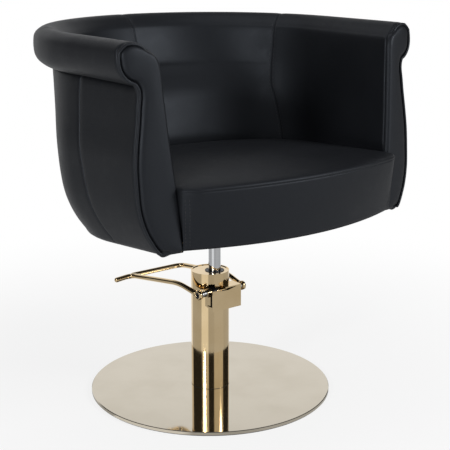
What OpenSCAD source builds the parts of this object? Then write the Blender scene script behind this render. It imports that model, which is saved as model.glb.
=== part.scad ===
// Hairdressing chair: a leather tub seat that swivels and lifts on an oil pump over a round foot.
// Millimetres, +Z up, the sitter faces -Y. The origin is the centre of the foot, on the floor.

/* [Foot] */
// Diameter of the round foot
disc_d = 550; // [440:10:650]
// Thickness of the foot's steel plate
disc_t = 8; // [6:1:12]
// Edge rounding of the foot's plate
disc_round = 1.2; // [0.4:0.2:2.4]
// Thickness of the rubber mat under the foot
floor_mat_t = 2; // [1:0.5:4]
// Distance of the rubber mat from the foot's edge
floor_mat_inset = 3; // [1:1:10]

/* [Column] */
// Outer diameter of the column
column_d = 87; // [84:1:100]
// Column diameter for which the pump's places and bores are given below
column_for = 87; // [84:1:100]
// Wall of the column's sleeve
sleeve_wall = 2.5; // [1.5:0.5:3]
// Length of the column's sleeve
sleeve_l = 201.4; // [190:0.1:240]
// Thickness of the gasket under the sleeve
gasket_t = 0.6; // [0.4:0.2:2]
// How far the gasket shows round the sleeve
gasket_out = 0.2; // [0.2:0.2:2]
// Thickness of the pump's bottom flange
flange_t = 16; // [14:1:20]
// Circle of the four foot bolts
bolt_circle = 56; // [50:1:60]
// Foot bolt diameter
foot_bolt_d = 8; // [6:1:10]
// Foot bolt head diameter
foot_bolt_head_d = 15; // [12:1:18]
// Depth of the foot bolt's thread in the flange
foot_bolt_grip = 9; // [7:1:11]

/* [Pump] */
// Height of the pump head above the sleeve
head_h = 73; // [68:1:85]
// Width of the rim round the head's top
head_rim_w = 2.5; // [1.5:0.5:4]
// Depth of the head's top inside its rim
head_rim_h = 1.5; // [0.5:0.5:2.5]
// Sideways place of the lifting rod from the column's middle
rod_right = 7; // [4:0.5:9]
// Front to back place of the lifting rod from the column's middle
rod_front = -8; // [-10:0.5:-5]
// Diameter of the lifting rod
rod_d = 28; // [24:1:30]
// Bore of the pump's cylinder
bore = 36; // [34:1:38]
// Wall of the pump's cylinder
cylinder_wall = 4; // [3:0.5:4.5]
// How deep the cylinder is pressed into the flange and the head
cylinder_grip = 4; // [3:0.5:5]
// Length of the piston
piston_l = 20; // [16:1:26]
// Height of the piston's foot over the cylinder's floor, as the chair stands in the photograph
piston_rise = 136; // [134:1:142]
// Wall of the bush and the seal round the rod
bush_wall = 4; // [3:0.5:5]
// Length of the rod's bush
bush_l = 28; // [20:1:34]
// Height of the rod's seal
seal_h = 9; // [6:1:12]
// Height of the gland nut
gland_h = 12; // [8:1:14]
// How far the gland nut stands over the head's inner top
gland_out = 1; // [0.5:0.5:1.5]

/* [Plunger] */
// Sideways place of the plunger
plunger_right = -23; // [-24:0.5:-22]
// Front to back place of the plunger
plunger_front = 16; // [14:0.5:17]
// Diameter of the plunger
plunger_size = 16; // [12:1:16]
// Wall of the plunger's barrel
barrel_wall = 3; // [2:0.5:3]
// Length of the plunger's barrel
barrel_l = 52; // [48:1:60]
// Length of the plunger
plunger_l = 38; // [34:1:42]
// Wire of the plunger's spring
spring_wire = 1.6; // [1:0.2:2]
// Turns of the plunger's spring
spring_turns = 6; // [4:1:7]

/* [Lever] */
// Diameter of the lever's shaft
shaft_d = 14; // [10:1:15]
// Front to back place of the lever's shaft
shaft_front = -40; // [-42:0.5:-38]
// Height of the lever's shaft over the bottom of the head
shaft_rise = 33; // [32:1:36]
// Half the distance between the lever's arms at the shaft
arm_x = 61; // [58:1:80]
// Diameter of the lever's rod
arm_d = 12; // [8:0.5:13]
// Diameter of the eyes at the ends of the arms
eye_d = 21; // [19:1:26]
// Width of the eyes at the ends of the arms
eye_w = 9; // [8:1:14]
// Front to back place of the bend in each arm
bend_y = 32; // [26:1:60]
// Rise of the bend over the shaft
bend_rise = 11; // [2:1:16]
// Front to back place of the foot bar
pedal_y = 225; // [190:5:260]
// Drop of the foot bar under the shaft
pedal_drop = 17; // [8:1:30]
// How far the near arm spreads at the foot bar
near_spread = 6; // [0:0.5:10]
// How far the far arm spreads at the foot bar
far_spread = 18.5; // [4:0.5:20]
// How far the free tip reaches past the near arm
tip_reach = 52.5; // [35:0.5:70]
// How far the free tip leans to the front
tip_lean = 11; // [4:1:20]
// Rounding at the lever's corners
corner_r = 22; // [16:1:28]

/* [Lever cover] */
// Left edge of the cover
cover_left_edge = -39; // [-42:0.5:-38]
// Right face of the cover
cover_right_edge = 41; // [40:0.5:46]
// Front face of the cover
cover_front_edge = -62; // [-66:0.5:-60]
// Thickness of the cover's sheet
cover_t = 2.5; // [1.5:0.5:3]
// Height of the cover's right corner over the bottom of the head
cover_h = 46; // [46:1:58]
// How far the cover hangs under the bottom of the head
cover_hang = 5.5; // [0:0.5:6]

/* [Seat mounting] */
// Side of the square mounting plate
plate_w = 200; // [160:5:240]
// Thickness of the mounting plate
plate_t = 5; // [4:0.5:8]
// Square of the four plate bolts
plate_bolt_square = 160; // [120:5:180]
// Plate bolt diameter
plate_bolt_d = 8; // [6:1:10]
// Outer diameter of the seat's hub
hub_d = 44; // [38:1:50]
// Diameter of the rod's spigot in the hub
spigot_d = 22; // [18:1:24]
// How far the hub hangs under the mounting plate
hub_drop = 18; // [14:1:18]

/* [Tub] */
// Height of the tub's bottom edge over the floor, as in the photograph
tub_z = 436; // [432:1:450]
// Height of the tub from its bottom edge to the top of its rim
tub_h = 400; // [340:5:460]
// Half the widest width of the tub's wall
tub_half_w = 355; // [320:1:400]
// Depth of the tub's back at its neck, behind the middle
tub_back = 325; // [300:1:360]
// Front to back place where the straight arms turn into the round back
tub_turn_y = 20; // [0:1:50]
// How much further to the front the arms turn into the back at the bottom of the tub
turn_in = 77; // [0:1:90]
// How much the tub's bottom edge falls to the back, in degrees
tub_tilt = 4.5; // [0:0.5:6]
// Front to back place of the arms' padded front faces
arm_front_y = -268; // [-290:1:-250]
// How much the arms' front faces turn outwards, in degrees
arm_splay = 12; // [6:1:16]
// Backward lean of the arms' front faces over the tub's height
arm_lean = 32; // [10:1:50]
// Depth of the padding on the arms' front faces
facing_t = 14; // [8:1:18]
// Radius of the roll along the rim
roll_r = 40; // [34:1:46]
// Thickness of the bent plywood shell
shell_t = 12; // [9:1:15]
// Thickness of the inner padding
inner_pad_t = 16; // [12:1:18]
// Depth of the timber posts at the front of the arms
post_w = 36; // [24:1:50]
// Diameter of the piping round the arms' front faces
piping_d = 5; // [3:0.5:7]
// Thickness of the board under the tub
board_t = 12; // [10:1:15]
// Thickness of the dust cover
dust_t = 1.5; // [1:0.5:2.5]

/* [Cushion] */
// Height of the cushion's front seam over the tub's bottom edge
cushion_seam_h = 124; // [100:1:150]
// How far the cushion's top falls to the back
cushion_fall = 26; // [5:1:40]
// Crown of the cushion's top
cushion_crown = 16; // [6:1:24]
// Front to back place of the cushion's front corners
cushion_corner_y = -288; // [-300:1:-280]
// Bow of the cushion's front
cushion_bow = 57; // [30:1:70]
// How far the cushion's front draws in towards its bottom edge
cushion_draw = 17; // [5:1:22]

/* [Hidden] */
$fn = 72;

// Clearances: running fit, piece laid against piece, loose hole, and the overrun of a cut.
run_gap = 0.05;
lay_gap = 0.3;
loose_gap = 0.5;
cut = 1;

// Places and bores in the pump go with the column's diameter
function in_column(v) = v * column_d / column_for;
bolt_circle_d = in_column(bolt_circle);
rod_x = in_column(rod_right);
rod_y = in_column(rod_front);
bore_d = in_column(bore);
plunger_x = in_column(plunger_right);
plunger_y = in_column(plunger_front);
plunger_d = in_column(plunger_size);
shaft_y = in_column(shaft_front);
cover_left = in_column(cover_left_edge);
cover_right = in_column(cover_right_edge);
cover_front = in_column(cover_front_edge);
slot_width = 13;
slot_w = in_column(slot_width);

// Heights of the foot and the column
disc_top = floor_mat_t + disc_t;
sleeve_z = disc_top + gasket_t;
head_z = sleeve_z + sleeve_l;
head_top = head_z + head_h;
flange_top = disc_top + flange_t;
cylinder_z = flange_top - cylinder_grip;
cylinder_od = bore_d + 2 * cylinder_wall;
shelf_t = 4;
slot_floor = 6;
slot_h = 44;

// Places of the plunger and the lever
shaft_z = head_z + shaft_rise;
pivot = [0, shaft_y, shaft_z];
barrel_d = plunger_d + 2 * barrel_wall;
barrel_top = head_z + slot_floor;
barrel_z = barrel_top - barrel_l;
barrel_floor = 4;
finger_w = slot_w - 2 * loose_gap;
finger_hub_d = 22;
finger_h = 8;
nose_d = 10;
plunger_top = shaft_z - nose_d / 2 - lay_gap;
plunger_z = plunger_top - plunger_l;
lug_w = 7;
lug_out = 10;
bush_out = 2;
boss_right = cover_right - cover_t - lay_gap;
collar_w = 5;
collar_d = 20;

// Places of the rod and the seat's mounting
rod_seat = [rod_x, rod_y, 0];
piston_z = cylinder_z + piston_rise;
piston_top = piston_z + piston_l;
pin_size = 16;
pin_d = in_column(pin_size);
nut_h = 7;
plate_z = tub_z - plate_t;
hub_z = plate_z - hub_drop;
board_z = tub_z + 4;
board_top = board_z + board_t;
washer_t = 2;
shoulder_z = hub_z - lay_gap - washer_t;
spigot_top = board_top - 12;
screw_d = 8;

// The neck is where the wall ends and the roll begins.
wall_h = tub_h - 2 * roll_r;
neck_z = tub_z + wall_h;
// Rows of the tub's wall, first its outside and then its inside: height, half width and the round
// back's depth, as shares of the wall's height, half width and back.
wall_rows_shares = [[0, 0.852, 0.725], [0.01875, 0.872, 0.745], [0.05, 0.9, 0.775],
    [0.1375, 0.95, 0.805], [0.325, 1, 0.796], [0.54375, 1.013, 0.778],
    [0.7625, 0.989, 0.866], [0.8875, 0.976, 0.93], [1, 0.963, 1]];
lining_rows_shares = [[0, 0.763, 0.668], [0.1625, 0.78, 0.6855], [0.4125, 0.806, 0.6065],
    [0.65, 0.827, 0.6435], [0.8625, 0.841, 0.785], [1, 0.851, 0.8776]];
// The roll's outline, out and up from its middle, as shares of its radius
roll_outline_shares = [[-0.91, -0.99], [-0.88, -0.53], [-0.8, 0], [-0.63, 0.38], [-0.38, 0.65],
    [-0.08, 0.88], [0.25, 0.99], [0.6, 0.96], [0.86, 0.84], [1.03, 0.6], [1.08, 0.26],
    [1.07, -0.1], [0.98, -0.41], [0.8, -0.68], [0.55, -0.89], [0.3, -1.02], [0.18, -1.03],
    [0.12, -0.99]];
// Seams of the lining and of the outer cover, as stations from the middle of the back to the front
lining_seam_share = 0.42;
cover_seam_share = 0.68;
// The stations at which the round back ends and the straight arm begins
turn_share = 0.6;
// How far the roll's middle lies inside the neck at the arms, and behind it at the back
roll_in = 4;
roll_behind = 2;
roll_middle_z = tub_z + tub_h - roll_r;
under_lap = 14;
board_back_in = 5;
piping_sides = 8;

// Half width of the tub outside and inside, and depth of its round back, at a height z.
function rows(table, k) = [for (r = table) [r[0], r[k]]];
function rise(z) = (z - tub_z) / tub_h;
function wall_rise(z) = (z - tub_z) / wall_h;
function wall_a(z) = tub_half_w * lookup(wall_rise(z), rows(wall_rows_shares, 1));
function wall_b(z) = tub_back * lookup(wall_rise(z), rows(wall_rows_shares, 2));
function lining_a(z) = tub_half_w * lookup(wall_rise(z), rows(lining_rows_shares, 1));
function lining_b(z) = tub_back * lookup(wall_rise(z), rows(lining_rows_shares, 2));
// The straight arms end further to the front at the bottom than at the neck.
function turn_y(z) =
    tub_turn_y - turn_in * pow(1 - max(0, min(1, (z - board_top) / (neck_z - board_top))), 3);
// The outside of the tub sinks to the back, all the way at the bottom and not at all at the neck.
tilt_from = cushion_corner_y - 0.6 * cushion_bow;
function sunk(p) = [p[0], p[1],
    p[2] - tan(tub_tilt) * (p[1] - rod_y - tilt_from) * max(0, 1 - wall_rise(p[2]))];
board_a = lining_a(board_top) + inner_pad_t + shell_t;
board_b = lining_b(board_top) + inner_pad_t + shell_t - board_back_in;

// Front to back place of the arm's front face at half width x and height z.
function front_y(x, z) = arm_front_y + tan(arm_splay) * (x - 0.8 * tub_half_w) + arm_lean * rise(z);

// A point on a U of half width a and back depth b: station 0 is the middle of the back, 1 and -1
// are the ends of the arms, which stop at end_y. The point is seen from above the lifting rod.
function u_point(a, b, s, end_y, z) =
    abs(s) > turn_share
        ? [rod_x + sign(s) * a,
           rod_y + end_y + (turn_y(z) - end_y) * (1 - abs(s)) / (1 - turn_share), z]
        : [rod_x + a * sin(90 * s / turn_share),
           rod_y + turn_y(z) + b * cos(90 * s / turn_share), z];

// Even steps from s0 to s1, and the tub's stations from s0 to s1. All layers share the stations
// of the round back, so that their facets lie alongside each other.
round_steps = 20;
seam_width = 0.01;
function steps(s0, s1, n) = [for (i = [0 : n]) s0 + (s1 - s0) * i / n];
function stations(s0, s1) = concat(s0,
    [for (s = steps(-turn_share, turn_share, 2 * round_steps))
        if (s > s0 + 1.5 * seam_width && s < s1 - 1.5 * seam_width) s],
    s1);

// A solid through rings of equally many points. Its ends are ladders of flat triangles between
// the two halves of the ring, so a bent, thin ring closes as well as a round one. The two halves
// split their quads alike, so the outer face of one layer and the inner face of the next agree.
module loft(rings) {
    m = len(rings);
    k = len(rings[0]);
    half = k / 2 - 1;
    sides = [for (j = [0 : m - 2], i = [0 : k - 1]) let (n = (i + 1) % k, a = j * k)
        each i < k / 2 ? [[a + i, a + n, a + k + n], [a + i, a + k + n, a + k + i]]
            : [[a + i, a + n, a + k + i], [a + n, a + k + n, a + k + i]]];
    first = [for (i = [0 : half - 1])
        each [[i, k - 1 - i, k - 2 - i], [i, k - 2 - i, i + 1]]];
    top = (m - 1) * k;
    last = [for (i = [0 : half - 1])
        each [[top + i, top + k - 2 - i, top + k - 1 - i], [top + i, top + i + 1, top + k - 2 - i]]];
    polyhedron(points = [for (r = rings) each r], faces = concat(sides, first, last));
}

// Rings are listed the other way round for a mirrored piece.
function turned_if(yes, rings) =
    yes ? [for (r = rings) [for (i = [len(r) - 1 : -1 : 0]) r[i]]] : rings;

module at_rod(z) {
    translate([rod_x, rod_y, z]) children();
}

module ring(od, id, h) {
    difference() {
        cylinder(d = od, h = h);
        translate([0, 0, -cut]) cylinder(d = id, h = h + 2 * cut);
    }
}

// A round bar between two points.
module bar(p, q, d) {
    v = q - p;
    translate(p) rotate([0, acos(v[2] / norm(v)), atan2(v[1], v[0])])
        cylinder(d = d, h = norm(v));
}

// A cylinder along X, from x0 to x1, about the lever's shaft.
module along_shaft(x0, x1, d) {
    translate([x0, shaft_y, shaft_z]) rotate([0, 90, 0]) cylinder(d = d, h = x1 - x0);
}

module foot_bolt_places() {
    for (a = [45 : 90 : 315]) rotate(a) translate([bolt_circle_d / 2, 0, 0]) children();
}

module base_disc() {
    r = disc_d / 2;
    color("tan") translate([0, 0, floor_mat_t]) difference() {
        rotate_extrude() polygon([[0, 0], [r - disc_round, 0], [r, disc_round],
            [r, disc_t - disc_round], [r - disc_round, disc_t], [0, disc_t]]);
        foot_bolt_places() {
            translate([0, 0, -cut]) {
                cylinder(d = foot_bolt_d + 2 * loose_gap, h = disc_t + 2 * cut);
                cylinder(d1 = foot_bolt_head_d + 2 * (cut + lay_gap),
                    d2 = foot_bolt_d + 2 * lay_gap,
                    h = (foot_bolt_head_d - foot_bolt_d) / 2 + cut);
            }
        }
    }
}

module floor_mat() {
    color("black") cylinder(d = disc_d - 2 * floor_mat_inset, h = floor_mat_t);
}

// Countersunk bolts with hexagon sockets, put in from under the foot.
module foot_bolts() {
    head_h = (foot_bolt_head_d - foot_bolt_d) / 2;
    color("dimgray") foot_bolt_places() translate([0, 0, floor_mat_t]) difference() {
        union() {
            cylinder(d1 = foot_bolt_head_d, d2 = foot_bolt_d, h = head_h);
            cylinder(d = foot_bolt_d, h = disc_t + foot_bolt_grip);
        }
        translate([0, 0, -cut]) cylinder(d = 0.6 * foot_bolt_d, h = head_h + cut, $fn = 6);
    }
}

module foot_gasket() {
    color("black") translate([0, 0, disc_top])
        ring(column_d + 2 * gasket_out, column_d - 2 * sleeve_wall, gasket_t);
}

module pump_flange() {
    color("gray") difference() {
        translate([0, 0, disc_top])
            cylinder(d = column_d - 2 * (sleeve_wall + loose_gap), h = flange_t);
        at_rod(cylinder_z) cylinder(d = cylinder_od, h = cylinder_grip + cut);
        foot_bolt_places() translate([0, 0, disc_top - cut])
            cylinder(d = foot_bolt_d, h = foot_bolt_grip + 2 * cut);
    }
}

module pump_sleeve() {
    color("goldenrod") translate([0, 0, sleeve_z])
        ring(column_d, column_d - 2 * sleeve_wall, sleeve_l);
}

module pump_cylinder() {
    color("silver") at_rod(cylinder_z)
        ring(cylinder_od, bore_d, head_z + cylinder_grip - cylinder_z);
}

// Stack of the rod's guide in the head, from the top down.
guide_top = head_top - head_rim_h;
guide_d = rod_d + 2 * bush_wall;
gland_d = guide_d + 8 * head_rim_w / 2.5;
gland_z = guide_top + gland_out - gland_h;
seal_z = gland_z - seal_h;
bush_z = seal_z - bush_l;
slot_left = plunger_x - slot_w / 2;
slot_right = plunger_x + slot_w / 2;
bush_d = shaft_d + 2 * bush_out;
boss_bush_l = 10;
shelf_front = cover_front + cover_t + lay_gap;

module head_body() {
    translate([0, 0, head_z]) cylinder(d = column_d, h = head_h);
    translate([cover_left, shelf_front, head_z])
        cube([boss_right - cover_left, shaft_y - shelf_front, shelf_t]);
    for (x = [[slot_left - lug_w, slot_left], [slot_right, boss_right]]) {
        translate([x[0], shaft_y - lug_out, head_z])
            cube([x[1] - x[0], 2 * lug_out, shaft_rise]);
        along_shaft(x[0], x[1], 2 * lug_out);
    }
}

// The cast head: a shelf and two bearings for the lever in front, a slot for the pump finger
// over the plunger, and the rod's stepped guide.
module pump_head() {
    color("goldenrod") difference() {
        head_body();
        translate([0, 0, guide_top]) cylinder(d = column_d - 2 * head_rim_w, h = head_rim_h + cut);
        translate([slot_left, cover_front, barrel_top])
            cube([slot_w, plunger_y + barrel_d / 2 + cut - cover_front, slot_h]);
        translate([plunger_x, plunger_y, head_z - cut])
            cylinder(d = barrel_d, h = slot_floor + cut);
        translate([plunger_x, plunger_y, head_z])
            cylinder(d = plunger_d + 2 * loose_gap, h = slot_floor + slot_h);
        along_shaft(slot_left - lug_w - cut, slot_left + cut, bush_d);
        along_shaft(slot_right - cut, boss_right, shaft_d + 2 * loose_gap);
        along_shaft(boss_right - boss_bush_l, boss_right + cut, bush_d);
        at_rod(head_z - cut) cylinder(d = cylinder_od, h = cylinder_grip + cut);
        at_rod(head_z) cylinder(d = rod_d + 4 * loose_gap, h = head_h);
        at_rod(bush_z) cylinder(d = guide_d, h = head_h);
        at_rod(gland_z) cylinder(d = gland_d, h = head_h);
        cover_screw_places() cylinder(d = cover_screw_d, h = cover_screw_grip + cut);
    }
}

module rod_bush() {
    color("darkgoldenrod") at_rod(bush_z) ring(guide_d, rod_d + 2 * run_gap, bush_l);
}

module rod_seal() {
    color("black") at_rod(seal_z) ring(guide_d, rod_d + 2 * run_gap, seal_h);
}

module gland_nut() {
    hole_d = (gland_d - rod_d) / 5;
    color("dimgray") at_rod(gland_z) difference() {
        ring(gland_d, rod_d + 2 * loose_gap, gland_h);
        for (a = [0 : 90 : 270]) rotate(a)
            translate([(gland_d + rod_d) / 4, 0, gland_h / 2]) cylinder(d = hole_d, h = gland_h);
    }
}

module shaft_ring(x0, x1, od, id) {
    difference() {
        along_shaft(x0, x1, od);
        along_shaft(x0 - cut, x1 + cut, id);
    }
}

module shaft_bushes() {
    color("darkgoldenrod") {
        shaft_ring(slot_left - lug_w, slot_left, bush_d, shaft_d + 2 * run_gap);
        shaft_ring(boss_right - boss_bush_l, boss_right, bush_d, shaft_d + 2 * run_gap);
    }
}

module plunger_barrel() {
    color("silver") translate([plunger_x, plunger_y, barrel_z]) difference() {
        cylinder(d = barrel_d, h = barrel_l);
        translate([0, 0, barrel_floor]) cylinder(d = plunger_d, h = barrel_l);
        translate([0, 0, -cut]) cylinder(d = valve_d, h = barrel_floor + 2 * cut);
    }
}

valve_d = 6;
valve_h = 10;
valve_hex_d = 14;

module check_valve() {
    color("darkgoldenrod") translate([plunger_x, plunger_y, barrel_z]) difference() {
        union() {
            translate([0, 0, -valve_h]) cylinder(d = valve_hex_d, h = valve_h, $fn = 6);
            cylinder(d = valve_d, h = barrel_floor);
        }
        translate([0, 0, -valve_h - cut])
            cylinder(d = valve_d / 2, h = valve_h + barrel_floor + 2 * cut);
    }
}

cover_screw_d = 5;
cover_screw_grip = 10;
cover_screw_head_d = 9;
cover_screw_head_h = 3;

// Two places in the boss's right face, in front of and behind the middle, under the shaft.
module cover_screw_places() {
    for (y = [-lug_out / 2, lug_out / 2])
        translate([boss_right + cut, shaft_y + y, head_z + shaft_rise / 3]) rotate([0, -90, 0])
            children();
}

// The bent sheet in front of the lever's shaft: a front with a dipped top edge, a right side
// and a top over the right half.
module lever_cover() {
    top = cover_h + cover_hang;
    w = cover_right - cover_left;
    depth = shaft_y + lug_out - cover_front;
    hole_d = shaft_d + 4 * loose_gap;
    color("darkgoldenrod") difference() {
        translate([cover_left, cover_front, head_z - cover_hang]) {
            translate([0, cover_t, 0]) rotate([90, 0, 0]) linear_extrude(cover_t)
                polygon([[0, 0], [w, 0], [w, top], [0.55 * w, 0.85 * top], [0.2 * w, 0.88 * top],
                    [0, 0.93 * top]]);
            translate([w - cover_t, 0, 0]) cube([cover_t, depth, top]);
            translate([0.45 * w, 0, top - cover_t]) cube([0.55 * w, depth, cover_t]);
        }
        translate([0, 0, head_z - cover_hang - cut]) cylinder(d = column_d + 2 * lay_gap, h = 2 * head_h);
        along_shaft(boss_right, cover_right + cut, hole_d);
        translate([cover_t + lay_gap, 0, 0]) cover_screw_places()
            translate([0, 0, -cut]) cylinder(d = cover_screw_d + loose_gap, h = cover_t + 4 * cut);
    }
}

module cover_screws() {
    color("dimgray") translate([-cut, 0, 0]) cover_screw_places() {
        translate([0, 0, -cover_t - lay_gap])
            cylinder(d = cover_screw_d, h = cover_t + lay_gap + cover_screw_grip);
        translate([0, 0, -cover_t - lay_gap - cover_screw_head_h]) difference() {
            cylinder(d = cover_screw_head_d, h = cover_screw_head_h);
            translate([0, 0, -cut])
                cylinder(d = cover_screw_d / 2, h = cut + cover_screw_head_h / 2, $fn = 6);
        }
    }
}

module plunger() {
    d = plunger_d - 2 * run_gap;
    color("silver") translate([plunger_x, plunger_y, plunger_z]) cylinder(d = d, h = plunger_l);
}

module plunger_spring() {
    coil_r = 0.36 * plunger_d;
    r = spring_wire / 2;
    z0 = barrel_z + barrel_floor + r + run_gap;
    z1 = plunger_z - r - run_gap;
    color("gray") loft([for (k = [0 : spring_turns * 10])
        let (t = 360 * k / 10, z = z0 + (z1 - z0) * k / (spring_turns * 10))
        [for (a = [0 : 60 : 300]) [plunger_x + (coil_r + r * cos(a)) * cos(t),
            plunger_y + (coil_r + r * cos(a)) * sin(t), z + r * sin(a)]]]);
}

arm_screw_d = 6;
arm_screw_grip = 12;
shaft_end = arm_x + eye_w / 2 - 4 * eye_w / 12;

module lever_shaft() {
    color("silver") difference() {
        along_shaft(-shaft_end, shaft_end, shaft_d);
        for (s = [-1, 1]) translate([s * (shaft_end + cut), shaft_y, shaft_z])
            rotate([0, -90 * s, 0]) cylinder(d = arm_screw_d, h = arm_screw_grip + cut);
    }
}

// The finger on the shaft that presses the plunger down with its round nose.
module pump_finger() {
    web_w = 0.65 * finger_w;
    color("dimgray") difference() {
        union() {
            along_shaft(plunger_x - finger_w / 2, plunger_x + finger_w / 2, finger_hub_d);
            translate([plunger_x - web_w / 2, shaft_y, shaft_z - finger_h / 2])
                cube([web_w, plunger_y - shaft_y, finger_h]);
            translate([0, plunger_y - shaft_y, 0])
                along_shaft(plunger_x - web_w / 2, plunger_x + web_w / 2, nose_d);
        }
        along_shaft(plunger_x - finger_w, plunger_x + finger_w, shaft_d);
    }
}

// A path whose corners are cut back by r and rounded by a parabola.
function toward(p, q, r) = p + (q - p) * r / norm(q - p);
function rounded(path, r) = [
    for (i = [0 : len(path) - 1])
        let (p = path[i])
        each (i == 0 || i == len(path) - 1) ? [p]
            : let (a = toward(p, path[i - 1], r), b = toward(p, path[i + 1], r))
              [for (t = steps(0, 1, 4)) a * pow(1 - t, 2) + p * 2 * t * (1 - t) + b * t * t]];

// A round rod along a path that runs nearly level, with the radius at each point given as a
// share of the rod's.
module rod_along(path, radius_shares) {
    n = len(path) - 1;
    loft([for (i = [0 : n])
        let (way = path[min(i + 1, n)] - path[max(i - 1, 0)], t = way / norm(way),
             out = cross(t, [0, 0, 1]), u = out / norm(out), w = cross(u, t),
             r = radius_shares[i] * arm_d / 2)
        [for (a = [15 : 30 : 345]) path[i] + u * r * cos(a) + w * r * sin(a)]]);
}
function ones(path) = [for (p = path) 1];

bend_z = shaft_z + bend_rise;
pedal_z = shaft_z - pedal_drop;
near_x = -arm_x - near_spread;
near_path = rounded([[-arm_x, shaft_y, shaft_z], [-arm_x - near_spread / 2, bend_y, bend_z],
    [near_x, pedal_y, pedal_z], [near_x - tip_reach, pedal_y - tip_lean, pedal_z]], corner_r);
far_path = rounded([[near_x - corner_r / 5, pedal_y, pedal_z],
    [arm_x + far_spread, pedal_y, pedal_z], [arm_x + far_spread / 2, bend_y, bend_z],
    [arm_x, shaft_y, shaft_z]], corner_r);

// The free tip's ball, as places past its end and radii, in shares of the rod's radius
tip_shares = [[0.4, 0.9], [0.75, 0.65], [0.96, 0.25]];
near_end = near_path[len(near_path) - 1];
near_way = toward([0, 0, 0], near_end - near_path[len(near_path) - 2], arm_d / 2);
near_full = concat(near_path, [for (k = tip_shares) near_end + near_way * k[0]]);
near_radii = concat(ones(near_path), [for (k = tip_shares) k[1]]);

module eye(side) {
    along_shaft(side * arm_x - eye_w / 2, side * arm_x + eye_w / 2, eye_d);
}

module lever_arm_near() {
    color("goldenrod") difference() {
        union() {
            eye(-1);
            rod_along(near_full, near_radii);
        }
        along_shaft(-arm_x - eye_w, -arm_x + eye_w, shaft_d);
    }
}

// The foot bar and the far arm, one bent rod welded to the near arm's corner.
module lever_arm_far() {
    color("goldenrod") difference() {
        union() {
            eye(1);
            rod_along(far_path, ones(far_path));
        }
        along_shaft(arm_x - eye_w, arm_x + eye_w, shaft_d);
        rod_along(near_full, near_radii);
    }
}

module arm_screws() {
    head_d = shaft_d - 2 * loose_gap;
    head_h = arm_x + eye_w / 2 - shaft_end;
    color("dimgray") for (s = [-1, 1]) translate([s * shaft_end, shaft_y, shaft_z])
        rotate([0, 90 * s, 0]) difference() {
            union() {
                cylinder(d = head_d, h = head_h);
                translate([0, 0, -arm_screw_grip]) cylinder(d = arm_screw_d, h = arm_screw_grip);
            }
            translate([0, 0, head_h / 3]) cylinder(d = head_d / 2, h = head_h, $fn = 6);
        }
}

module shaft_collars() {
    left = slot_left - lug_w - lay_gap;
    right = cover_right + lay_gap;
    color("goldenrod") {
        shaft_ring(left - collar_w, left, collar_d, shaft_d);
        shaft_ring(right, right + collar_w, collar_d, shaft_d);
    }
}

module piston_rod() {
    color("silver") difference() {
        union() {
            at_rod(piston_top) cylinder(d = rod_d, h = shoulder_z - piston_top);
            at_rod(piston_z - nut_h) cylinder(d = pin_d, h = piston_l + nut_h + cut);
            at_rod(shoulder_z - cut) cylinder(d = spigot_d, h = spigot_top - shoulder_z + cut);
        }
        at_rod(spigot_top - screw_grip) cylinder(d = screw_d, h = screw_grip + cut);
    }
}

screw_grip = 16;
groove_h = 6;
groove_deep = 4;

module piston() {
    groove_z = (piston_l - groove_h) / 2;
    color("gray") at_rod(piston_z) difference() {
        ring(bore_d - 2 * run_gap, pin_d, piston_l);
        translate([0, 0, groove_z]) ring(bore_d + cut, bore_d - 2 * groove_deep, groove_h);
    }
}

module piston_seal() {
    color("black") at_rod(piston_z + (piston_l - groove_h) / 2)
        ring(bore_d - run_gap, bore_d - 2 * groove_deep, groove_h);
}

module piston_nut() {
    color("dimgray") at_rod(piston_z - nut_h) difference() {
        cylinder(d = 0.75 * bore_d, h = nut_h, $fn = 6);
        translate([0, 0, -cut]) cylinder(d = pin_d, h = nut_h + 2 * cut);
    }
}

module thrust_washer() {
    color("darkgoldenrod") at_rod(shoulder_z)
        ring(rod_d + 4, spigot_d + 2 * loose_gap, washer_t);
}

retainer_d = spigot_d + 6;
retainer_t = 3;

module retaining_washer() {
    color("dimgray") at_rod(spigot_top) ring(retainer_d, screw_d + loose_gap, retainer_t);
}

module retaining_screw() {
    head_h = 5;
    color("dimgray") at_rod(spigot_top) difference() {
        union() {
            translate([0, 0, retainer_t]) cylinder(d = 1.6 * screw_d, h = head_h);
            translate([0, 0, -screw_grip]) cylinder(d = screw_d, h = screw_grip + retainer_t);
        }
        translate([0, 0, retainer_t + head_h / 2]) cylinder(d = 0.7 * screw_d, h = head_h, $fn = 6);
    }
}

// The hub turns on the spigot. The retaining washer lies in its wider top.
module seat_hub() {
    color("dimgray") at_rod(0) difference() {
        translate([0, 0, hub_z]) cylinder(d = hub_d, h = board_top - hub_z);
        translate([0, 0, hub_z - cut])
            cylinder(d = spigot_d + 2 * run_gap, h = board_top - hub_z + 2 * cut);
        translate([0, 0, spigot_top - lay_gap])
            cylinder(d = retainer_d + 2 * loose_gap, h = board_top - spigot_top + cut + lay_gap);
    }
}

module plate_bolt_places(z) {
    for (x = [-1, 1], y = [-1, 1])
        translate([rod_x + x * plate_bolt_square / 2, rod_y + y * plate_bolt_square / 2, z])
            children();
}

module mounting_plate() {
    color("dimgray") difference() {
        at_rod(plate_z) translate([-plate_w / 2, -plate_w / 2, 0]) cube([plate_w, plate_w, plate_t]);
        at_rod(plate_z - cut) cylinder(d = hub_d, h = plate_t + 2 * cut);
        plate_bolt_places(plate_z - cut) cylinder(d = plate_bolt_d + 2 * loose_gap, h = plate_t + 2 * cut);
    }
}

plate_bolt_head_d = 14;
plate_bolt_head_h = 5;
tee_d = 11;
tee_flange_d = 20;
tee_flange_t = 1.5;

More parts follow.
